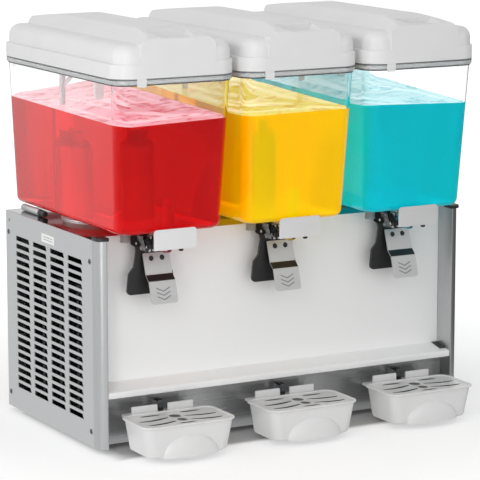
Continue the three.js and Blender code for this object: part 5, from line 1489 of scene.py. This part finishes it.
HOLLOW_DEPTHS = (-23.0, -4.2)
KNOB_PLACE = (-59.5, 3.0, 0)
KNOB_RADIUS = 8.0
KNOB_TEETH = 10
TOOTH_DEPTH = 0.9
TOOTH_STEP = 1.2

fins = []
for fin_turn in FIN_TURNS:
    points, faces = pushed(FIN_SIDE, "y", -FIN_HALF, FIN_HALF)
    turn = Matrix.Rotation(math.radians(fin_turn), 3, "Z")
    fins.append(moved(([tuple(turn @ Vector(p)) for p in points], faces), y=STEM_Y))
boss = pushed(box_outline(*BOSS_SPAN, *BOSS_LEVELS), "x", -BOSS_HALF, BOSS_HALF)
cheek = pushed(CHEEK_SIDE, "y", *CHEEK_DEPTHS)
valve_mesh = form(turned(FUNNEL_PROFILE, (0, STEM_Y, 0), "z", steps=48))
valve_mesh = cut(valve_mesh, boss, *fins, cheek, how="UNION")
valve_mesh = cut(valve_mesh, pushed(HOLLOW_SIDE, "y", *HOLLOW_DEPTHS))
show_at_stations("valve_clear", valve_mesh, valve_plastic, "tank_unit_{}", "clear_plastic", "spout_body",
                 sharp=35)
knob_profile = [(0, 316.0), (7.2, 316.0), (KNOB_RADIUS, 316.7)]
knob_profile += [(KNOB_RADIUS - TOOTH_DEPTH * (k % 2), 318.0 + TOOTH_STEP * k) for k in range(KNOB_TEETH)]
knob_profile += [(KNOB_RADIUS, 330.6), (0, 330.6)]
knob = turned(knob_profile, KNOB_PLACE, "z", steps=28)
show_at_stations("drain_knob", knob, knob_plastic, "tank_unit_{}", "clear_plastic", sharp=25)
print("fins round the funnel:", len(FIN_TURNS))

# %% [markdown]
# ## Spout cover
# A brushed plate hides the valve from the front. Its upper corners are round, and its lower edge is
# turned back under the valve, so it is a flat sheet and a narrow strip joined into one.

# %% Spout cover
COVER_BOX = (-35.0, 35.0, 307.5, 338.0)
COVER_DEPTHS = (-41.8, -40.3)
TURNED_BOX = (-41.8, -34.8, 307.5, 309.0)
TURNED_HALF = 34.6

cover_face = rounded(box_outline(*COVER_BOX), [0.8, 0.8, 5.0, 5.0], steps=6)
turned_edge = pushed(rounded(box_outline(*TURNED_BOX), 0.3, steps=2), "x", -TURNED_HALF, TURNED_HALF)
cover_mesh = cut(form(pushed(cover_face, "y", *COVER_DEPTHS)), turned_edge, how="UNION")
show_at_stations("cover_plate", cover_mesh, cover_steel, "tank_unit_{}", "brushed_steel", "spout_cover",
                 edge_mm=0.35)
print("cover is", COVER_BOX[1] - COVER_BOX[0], "x", COVER_BOX[3] - COVER_BOX[2], "mm")

# %% [markdown]
# ## Levers
# The lever is black nylon: a barrel on the pin, a neck and a broad paddle that leans back. It is a
# flat outline with round corners, sheared back with height, then joined to the barrel and to two
# studs that hold the push plate. Last the pin's bore goes through.

# %% Lever
LEVER_X = -12.0
LEVER_TOP = 309.0
LEVER_LOW = 234.0
LEVER_HALVES = ((24.0, LEVER_TOP), (22.5, 297.0), (27.0, 275.0), (36.0, 265.0), (41.0, LEVER_LOW))
LEVER_BENDS = [0, 5.0, 4.0, 5.0, 6.0]
LEVER_HALF_THICK = 2.0
LEVER_LEAN = 6.0
LEVER_TOP_Y = 20.0
BARREL_PROFILE = [(0, -25.5), (4.4, -25.5), (5.0, -24.9), (5.0, 24.9), (4.4, 25.5), (0, 25.5)]
ROOT_SIDE = ((12.0, 314.0), (18.0, 305.0), (22.0, 305.0), (21.0, 314.0))
ROOT_HALF = 25.4
BORE_PROFILE = [(0, -60.0), (2.7, -60.0), (2.7, 60.0), (0, 60.0)]
STUD_MIDDLE, STUD_OFFSET, STUD_Z = -5.0, 9.0, 287.0
STUD_PLACES = [(STUD_MIDDLE + side * STUD_OFFSET, 0, STUD_Z) for side in (-1, 1)]
STUD_BASE = [(0, 12.4), (5.0, 12.4), (5.0, 18.5), (0, 18.5)]
STUD_HEAD = [(0, 8.0), (2.8, 8.0), (3.5, 8.7), (3.5, 12.6), (0, 12.6)]


def lever_back(z):
    """How far back the paddle lies at a height."""
    return LEVER_TOP_Y - LEVER_LEAN * (LEVER_TOP - z) / (LEVER_TOP - LEVER_LOW)


lever_outline = [(LEVER_X - a, z) for a, z in LEVER_HALVES]
lever_outline += [(LEVER_X + a, z) for a, z in LEVER_HALVES[::-1]]
flat_lever = rounded(lever_outline, LEVER_BENDS + LEVER_BENDS[::-1], steps=5)
points, faces = pushed(flat_lever, "y", -LEVER_HALF_THICK, LEVER_HALF_THICK)
paddle = ([(x, y + lever_back(z), z) for x, y, z in points], faces)
barrel = turned(BARREL_PROFILE, (LEVER_X, PIN_Y, PIN_Z), "x", steps=32)
root = pushed(rounded(ROOT_SIDE, 0.5, steps=2), "x", LEVER_X - ROOT_HALF, LEVER_X + ROOT_HALF)
studs = [turned(profile, place, "y", 24) for place in STUD_PLACES for profile in (STUD_BASE, STUD_HEAD)]
lever_mesh = cut(form(paddle), barrel, root, *studs, how="UNION")
lever_mesh = cut(lever_mesh, turned(BORE_PROFILE, (LEVER_X, PIN_Y, PIN_Z), "x", steps=24))
show_at_stations("lever_paddle", lever_mesh, black_nylon, "lever_unit_{}", "black_plastic", "lever",
                 edge_mm=0.5)
print("lever leans", round(math.degrees(math.atan(LEVER_LEAN / (LEVER_TOP - LEVER_LOW))), 1), "degrees")

# %% [markdown]
# ## Push plates
# In front of the lever, on its two studs, sits a Z-bent brushed plate for the glass to push. A bent
# sheet is pushed across and then trimmed by a round-cornered outline. Its lower half carries three
# pressed chevrons that point down, to show where to push, and a black pad lies on its step.

# %% Push plate with pressed chevrons
PLATE_SPAN = (-27.0, 17.0)
PLATE_SHEET = 1.5
KNEE_Y, KNEE_Z = -8.0, 255.0
FOOT_Y, FOOT_Z = -18.0, 223.0
PLATE_PATH = ((12.0, 295.0), (2.0, 264.0), (KNEE_Y, KNEE_Z), (FOOT_Y, FOOT_Z))
PLATE_TRIM = (222.9, 295.4)
TRIM_DEPTHS = (-30.0, 20.0)
STUD_HOLE = [(0, 0.0), (3.9, 0.0), (3.9, 20.0), (0, 20.0)]
CHEVRON_TOPS = [246.5 - 6.0 * k for k in range(3)]
CHEVRON_HALF, CHEVRON_FALL, CHEVRON_WIDTH = 11.0, 5.0, 1.6
CHEVRON_DEPTHS = (-0.45, 0.6)
STEP_PATH = ((1.2, 263.3), (-7.2, 255.7))
STEP_SHEET = 0.8
STEP_MARGIN = 0.4

plate_outline = sheet_outline(rounded(PLATE_PATH, [0, 2.5, 2.5, 0], steps=5, closed=False), PLATE_SHEET)
trim = pushed(rounded(box_outline(*PLATE_SPAN, *PLATE_TRIM), [5.0, 5.0, 3.0, 3.0], 6), "y", *TRIM_DEPTHS)
bent = cut(form(pushed(plate_outline, "x", *PLATE_SPAN)), trim, how="INTERSECT")
bent = cut(bent, *[turned(STUD_HOLE, place, "y", steps=24) for place in STUD_PLACES])
show_at_stations("push_plate_bent", bent, plate_steel, "lever_unit_{}", "brushed_steel", "push_plate",
                 edge_mm=0.3)
step_pad = pushed(sheet_outline(STEP_PATH, -STEP_SHEET), "x", PLATE_SPAN[0] + STEP_MARGIN,
                  PLATE_SPAN[1] - STEP_MARGIN)
show_at_stations("push_step_pad", step_pad, black_nylon, "lever_unit_{}", "black_plastic")
slope = (KNEE_Z - FOOT_Z) / (KNEE_Y - FOOT_Y)
chevrons = []
for top in CHEVRON_TOPS:
    upper = [(STUD_MIDDLE - CHEVRON_HALF, top), (STUD_MIDDLE, top - CHEVRON_FALL),
             (STUD_MIDDLE + CHEVRON_HALF, top)]
    lower = [(x, z - CHEVRON_WIDTH) for x, z in upper[::-1]]
    points, faces = pushed(upper + lower, "y", *CHEVRON_DEPTHS)
    chevrons.append(([(x, y + KNEE_Y - (KNEE_Z - z) / slope, z) for x, y, z in points], faces))
show_at_stations("push_chevrons", together(*chevrons), etch_ink, "lever_unit_{}", "brushed_steel")
print("chevrons on a plate:", len(chevrons))

# %% [markdown]
# ## Lids: band, crown and spine
# The lid is injection-moulded white plastic: a straight band, a crown with a broad round shoulder,
# and a long raised spine with leaning flanks that droops at both ends. The band and crown are skins
# through rings. The spine is where three pushed outlines meet: its side view, section and plan.

# %% Lid outlines
LID_LOW = 561.0
BAND_TOP = 582.0
SHOULDER = 610.0
SHOULDER_ROUND = 16.0
LID_HALF = 100.0
LID_FRONT = -55.0
LID_REAR = 355.0
LID_CORNER = 32.0
LEAST_LID_CORNER = 3.0
CROWN_INSET = 5.0
CROWN_FRONT = 3.5
CREST = 628.0
FRONT_EDGE = 618.0
SPINE_HALF = 61.0
SPINE_TOP_HALF = 33.0
SPINE_LOW = BAND_TOP - 4.0
SPINE_STEPS = 60
DROOP_START, DROOP_REAR_START = 30.0, 250.0
DROOP_FRONT_LENGTH, DROOP_REAR_LENGTH = 85.0, 105.0
DROOP_POWER = 1.7
SPINE_MIDDLE = 155.0


def lid_ring(inset, z, steps=10, front_extra=0.0):
    """One level of the lid; front_extra brings its front forwards."""
    return vessel_ring(LID_HALF - inset, LID_FRONT + inset - front_extra, LID_REAR - inset,
                       max(LID_CORNER - inset, LEAST_LID_CORNER), z, steps)


def droop(y):
    """Height of the spine's crest line: straight in the middle, falling smoothly to both ends."""
    away = max(0.0, DROOP_START - y, y - DROOP_REAR_START)
    share = min(1.0, away / (DROOP_FRONT_LENGTH if y < SPINE_MIDDLE else DROOP_REAR_LENGTH))
    return CREST - (CREST - FRONT_EDGE) * share ** DROOP_POWER


crown_levels = [(CROWN_INSET, BAND_TOP - 6.0), (CROWN_INSET, SHOULDER - SHOULDER_ROUND)]
for angle in range(10, 91, 10):
    across_share, up_share = math.cos(math.radians(angle)), math.sin(math.radians(angle))
    crown_levels.append((CROWN_INSET + SHOULDER_ROUND * (1 - across_share),
                         SHOULDER - SHOULDER_ROUND * (1 - up_share)))
band_levels = [(0.6, LID_LOW), (0.0, LID_LOW + 0.6), (0.0, BAND_TOP - 1.2), (0.35, BAND_TOP - 0.35),
               (1.2, BAND_TOP)]
band_mesh = form(skin([lid_ring(inset, z) for inset, z in band_levels]))
crown_mesh = form(skin([lid_ring(inset, z, front_extra=CROWN_FRONT) for inset, z in crown_levels]))

crest_ys = [LID_FRONT + k * (LID_REAR - LID_FRONT) / SPINE_STEPS for k in range(SPINE_STEPS + 1)]
side_view = [(LID_FRONT, SPINE_LOW)] + [(y, droop(y)) for y in crest_ys] + [(LID_REAR, SPINE_LOW)]
side_view = rounded(side_view, [0, 1.6] + [0] * (SPINE_STEPS - 1) + [14.0, 0], steps=8)
section = rounded([(-SPINE_HALF, SPINE_LOW), (SPINE_HALF, SPINE_LOW), (SPINE_HALF, SHOULDER),
                   (SPINE_TOP_HALF, CREST), (-SPINE_TOP_HALF, CREST), (-SPINE_HALF, SHOULDER)],
                  [0, 0, 3.0, 6.0, 6.0, 3.0], 6)
plan = rounded(box_outline(-SPINE_HALF, SPINE_HALF, LID_FRONT, LID_REAR - 3.0), [0.5, 0.5, 26.0, 26.0], 8)
spine_mesh = cut(form(pushed(side_view, "x", -SPINE_HALF - 1, SPINE_HALF + 1)),
                 pushed(section, "y", LID_FRONT - 1, LID_REAR + 1), pushed(plan, "z", 570.0, 640.0),
                 how="INTERSECT")
print("spine has", len(spine_mesh.polygons), "faces")

# %% [markdown]
# ## Lids: recess, hollow and tongue
# The front of the spine has a thumb recess. From below the lid is hollowed to about 3 mm, keeps a
# spigot that drops into the tank, and carries a tongue that hangs down into it. A latch at the front
# left reaches down over the rim. All but the latch is cut or joined with booleans.

# %% Lid hollow, thumb recess, spigot, tongue and latch
LID_WALL = 3.0
THUMB_SECTION = ((-25.0, 617.0), (25.0, 617.0), (37.0, 629.0), (-37.0, 629.0))
THUMB_SPAN = (LID_FRONT - 2.0, LID_FRONT + 39.0)
CAVITY_INSET = CROWN_INSET + LID_WALL
CAVITY_ROUND = SHOULDER_ROUND - LID_WALL
MOUTH_INSET = 6.5
SPINE_HOLLOW = (-36.0, 36.0, -13.0, 331.0)
SPINE_HOLLOW_LEVELS = (600.0, 615.0)
SPIGOT_LEVELS = ((3.9, 553.0), (3.7, 553.4), (3.7, 562.0))
TONGUE_BOX = (-62.0, -48.0, 512.0, 608.0)
TONGUE_DEPTHS = (92.5, 97.5)
LATCH_BOX = (-67.0, -52.0, 549.0, 561.2)
LATCH_DEPTHS = (-54.7, -53.6)

cavity_levels = [(CAVITY_INSET, LID_LOW + LID_WALL), (CAVITY_INSET, SHOULDER - SHOULDER_ROUND)]
for angle in (30, 60, 90):
    across_share, up_share = math.cos(math.radians(angle)), math.sin(math.radians(angle))
    cavity_levels.append((CAVITY_INSET + CAVITY_ROUND * (1 - across_share),
                          SHOULDER - SHOULDER_ROUND + CAVITY_ROUND * up_share))
mouth = [tank_ring(MOUTH_INSET, z) for z in (550.0, LID_LOW)]
hollow = skin(mouth + [lid_ring(inset, z) for inset, z in cavity_levels])
spine_hollow = pushed(box_outline(*SPINE_HOLLOW), "z", *SPINE_HOLLOW_LEVELS)
spigot = skin([tank_ring(inset, z) for inset, z in SPIGOT_LEVELS])
tongue = pushed(rounded(box_outline(*TONGUE_BOX), [6.5, 6.5, 0, 0], steps=6), "y", *TONGUE_DEPTHS)
lid_mesh = cut(band_mesh, crown_mesh, spine_mesh, spigot, how="UNION")
lid_mesh = cut(lid_mesh, pushed(THUMB_SECTION, "y", *THUMB_SPAN), hollow, spine_hollow)
lid_mesh = cut(lid_mesh, tongue, how="UNION")
show_at_stations("lid_shell", lid_mesh, lid_plastic, "lid_unit_{}", "white_plastic", "lid", sharp=28)
latch = pushed(rounded(box_outline(*LATCH_BOX), [2.0, 2.0, 0.3, 0.3], steps=3), "y", *LATCH_DEPTHS)
show_at_stations("lid_latch", latch, lid_plastic, "lid_unit_{}", "white_plastic")
print("lid stands", CREST - LID_LOW, "mm above the rim")

# %% [markdown]
# ## Drip trays
# The tray is glossy white plastic with a rolled rim and an arched bulge on its front that is lit like
# a dome. A shelf behind it carries two upright tabs that go over the hook. The basin is a skin like
# the tank, the bulge a half dome joined to it, and the inside is cut clear again afterwards.


# %% Tray
TRAY_LOW = 9.0
TRAY_TOP = 58.0
TRAY_FLOOR = 2.5
TRAY_HALF, TRAY_HALF_DRAFT = 66.0, 8.0
TRAY_FRONT, TRAY_FRONT_DRAFT = -86.0, 5.0
TRAY_REAR, TRAY_REAR_DRAFT = -10.0, 3.0
TRAY_CORNER, LEAST_TRAY_CORNER = 15.0, 2.0
TRAY_RIM = [(0.0, 54.6), (-0.9, 55.2), (-2.4, 55.4), (-3.0, 56.0), (-3.0, 57.2), (-2.4, TRAY_TOP),
            (2.0, TRAY_TOP), (TRAY_FLOOR, 57.5)]
DOME_HALF, DOME_DEPTH, DOME_HEIGHT = 46.0, 12.0, 33.0
DOME_LEVELS, DOME_STEPS = 12, 64
SHELF_BOX = (-58.0, 58.0, -10.0, 26.7)
SHELF_LEVELS = (49.0, 52.0)
TAB_HALF, TAB_X = 21.0, 30.0
TAB_LEVELS = (51.0, 67.0)
TRAY_TAB_DEPTHS = (2.0, 5.0)


def tray_ring(inset, z, steps=8):
    """One level of the tray."""
    share = (z - TRAY_LOW) / (TRAY_TOP - TRAY_LOW)
    half = TRAY_HALF + TRAY_HALF_DRAFT * share - inset
    front = TRAY_FRONT - TRAY_FRONT_DRAFT * share + inset
    rear = TRAY_REAR + TRAY_REAR_DRAFT * share - inset
    return vessel_ring(half, front, rear, max(TRAY_CORNER - inset, LEAST_TRAY_CORNER), z, steps)


def oval_outline(x, y, a, b, steps=28):
    """An ellipse with half axes a and b."""
    turns = [2 * math.pi * i / steps for i in range(steps)]
    return [(x + a * math.cos(t), y + b * math.sin(t)) for t in turns]


tray_levels = fillet_levels(0.0, TRAY_LOW, 4.0, 4) + TRAY_RIM
tray_levels += fillet_levels(TRAY_FLOOR, TRAY_LOW + TRAY_FLOOR, 3.0, 4)[::-1]
tray_mesh = form(skin([tray_ring(inset, z) for inset, z in tray_levels]))
dome_rings = []
for level in range(DOME_LEVELS):
    lift = math.radians(90 * level / DOME_LEVELS)
    oval = oval_outline(0, TRAY_FRONT, DOME_HALF * math.cos(lift), DOME_DEPTH * math.cos(lift), DOME_STEPS)
    dome_rings.append(laid_out(oval, "z", TRAY_LOW + DOME_HEIGHT * math.sin(lift)))
dome_points, dome_faces = skin(dome_rings, high_cap=False)
dome_points.append((0, TRAY_FRONT, TRAY_LOW + DOME_HEIGHT))
last = (DOME_LEVELS - 1) * DOME_STEPS
dome_faces += [(last + i, last + (i + 1) % DOME_STEPS, len(dome_points) - 1) for i in range(DOME_STEPS)]
shelf = pushed(rounded(box_outline(*SHELF_BOX), [0, 0, 4.0, 4.0], steps=4), "z", *SHELF_LEVELS)
tabs = [pushed(rounded(box_outline(s * TAB_X - TAB_HALF, s * TAB_X + TAB_HALF, *TAB_LEVELS),
                       [0, 0, 1.2, 1.2], 3), "y", *TRAY_TAB_DEPTHS) for s in (-1, 1)]
tray_mesh = cut(tray_mesh, (dome_points, dome_faces), shelf, how="UNION")
tray_mesh = cut(tray_mesh, skin([tray_ring(2.6, z) for z in (12.0, 60.0)]))
tray_mesh = cut(tray_mesh, *tabs, how="UNION")
show_at_stations("tray_moulded", tray_mesh, tray_plastic, "tray_unit_{}", "white_plastic", "drip_tray",
                 edge_mm=0.4, sharp=28)
print("tray is", TRAY_TOP - TRAY_LOW, "mm deep")

# %% [markdown]
# ## Tray grids
# The grid drops inside the rim. Two ovals stand on its middle line, slots sweep outwards from each of
# them, two flat ovals lie at the back and a shallow bird-shaped slot at the front. A swept slot is a
# formula for its middle line and its width. Thin dark walls stand under the slots as painted shade,
# so that the slots look deep, and the ovals are filled with grey a little below the top.


# %% Grid
GRID_INSET = 2.85
GRID_LEVELS = (54.5, 57.0)
PUNCH_LEVELS = (50.0, 60.0)
MIDDLE_OVALS = ((0, -37.0, 9.0, 9.5), (0, -60.5, 7.5, 8.5))
SLOT_ROOTS = ((13.0, -41.0), (11.5, -64.5))
SWEPT_LENGTH, SWEPT_FALL, SWEPT_WIDTH, SWEPT_TURN = 51.0, 8.0, 6.5, 126.0
SWEPT_STEPS = 14
TAIL_OVAL = (33.0, -21.0, 17.0, 4.5)
BIRD_BACK, BIRD_FRONT = -77.6, -82.6
WING = ((4.0, -76.9), (9.0, -77.1), (17.0, -79.6), (10.0, -81.4), (5.0, -81.6))
WELL_LEVELS = (47.2, 48.0, 56.8)
WELL_REACH = (0.03, -0.35)
OVAL_FILL_LEVELS = (54.6, 56.7)


def swept(side, start, y):
    """A slot that starts beside an oval and bows forwards on its way out."""
    front, rear = [], []
    for k in range(SWEPT_STEPS + 1):
        share = k / SWEPT_STEPS
        taper = min(1.0, 0.55 + 6.0 * min(share, 1 - share))
        half = SWEPT_WIDTH / 2 * (0.55 + 0.45 * math.sin(share * math.pi)) * taper
        x = side * (start + SWEPT_LENGTH * share)
        middle = y - SWEPT_FALL * math.sin(math.radians(SWEPT_TURN * share))
        front.append((x, middle - half))
        rear.append((x, middle + half))
    return front + rear[::-1]


def grown(outline, reach):
    """The outline moved outwards by reach."""
    result = []
    for i, point in enumerate(outline):
        along = Vector(outline[(i + 1) % len(outline)]) - Vector(outline[i - 1])
        out = Vector((along.y, -along.x)).normalized()
        result.append(tuple(Vector(point) + out * reach))
    return result


def well(hole):
    """A thin wall that follows a slot down from the top of the grid."""
    outer, inner = (grown(hole, reach) for reach in WELL_REACH)
    foot, floor_z, top_z = WELL_LEVELS
    return skin([laid_out(inner, "z", floor_z), laid_out(inner, "z", top_z), laid_out(outer, "z", top_z),
                 laid_out(outer, "z", foot)])


right_wing = list(WING)
left_wing = [(-a, b) for a, b in WING[::-1]]
bird = [(0.0, BIRD_BACK)] + right_wing + [(0.0, BIRD_FRONT)] + left_wing
slots = [swept(s, *root_place) for root_place in SLOT_ROOTS for s in (-1, 1)] + [bird]
ovals = [oval_outline(*oval) for oval in MIDDLE_OVALS]
ovals += [oval_outline(s * TAIL_OVAL[0], *TAIL_OVAL[1:]) for s in (-1, 1)]
holes = ovals[:2] + slots[:4] + ovals[2:] + slots[4:]
grid_outline = [(x, y) for x, y, z in tray_ring(GRID_INSET, GRID_LEVELS[0])]
punches = [pushed(hole, "z", *PUNCH_LEVELS) for hole in holes]
grid_mesh = cut(form(pushed(grid_outline, "z", *GRID_LEVELS)), *punches)
# Painted shade: dark walls under the slots make them look deep.
show_at_stations("grid_wells", together(*[well(hole) for hole in slots]), slot_shade, "grid_unit_{}",
                 "grey_plastic")
fills = [pushed(grown(hole, WELL_REACH[0]), "z", *OVAL_FILL_LEVELS) for hole in ovals]
show_at_stations("grid_ovals", together(*fills), oval_grey_and_rim_shade, "grid_unit_{}", "grey_plastic")
show_at_stations("grid_plate", grid_mesh, grid_plastic, "grid_unit_{}", "grey_plastic", "tray_grid",
                 edge_mm=0.35)
print("slots in a grid:", len(holes))

# %% [markdown]
# ## Sizes
# Last, the box round everything that shows is measured and printed next to the CAD model's own box.

# %% Measure and finish
all_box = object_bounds()


def plain(box):
    """The box as plain lists."""
    return [[float(v) for v in row] if hasattr(row, "__len__") else float(row) for row in box]


{"cad": plain(cad_box), "visual": plain(all_box)}
print("CAD box:", plain(cad_box))
print("visual box:", plain(all_box))
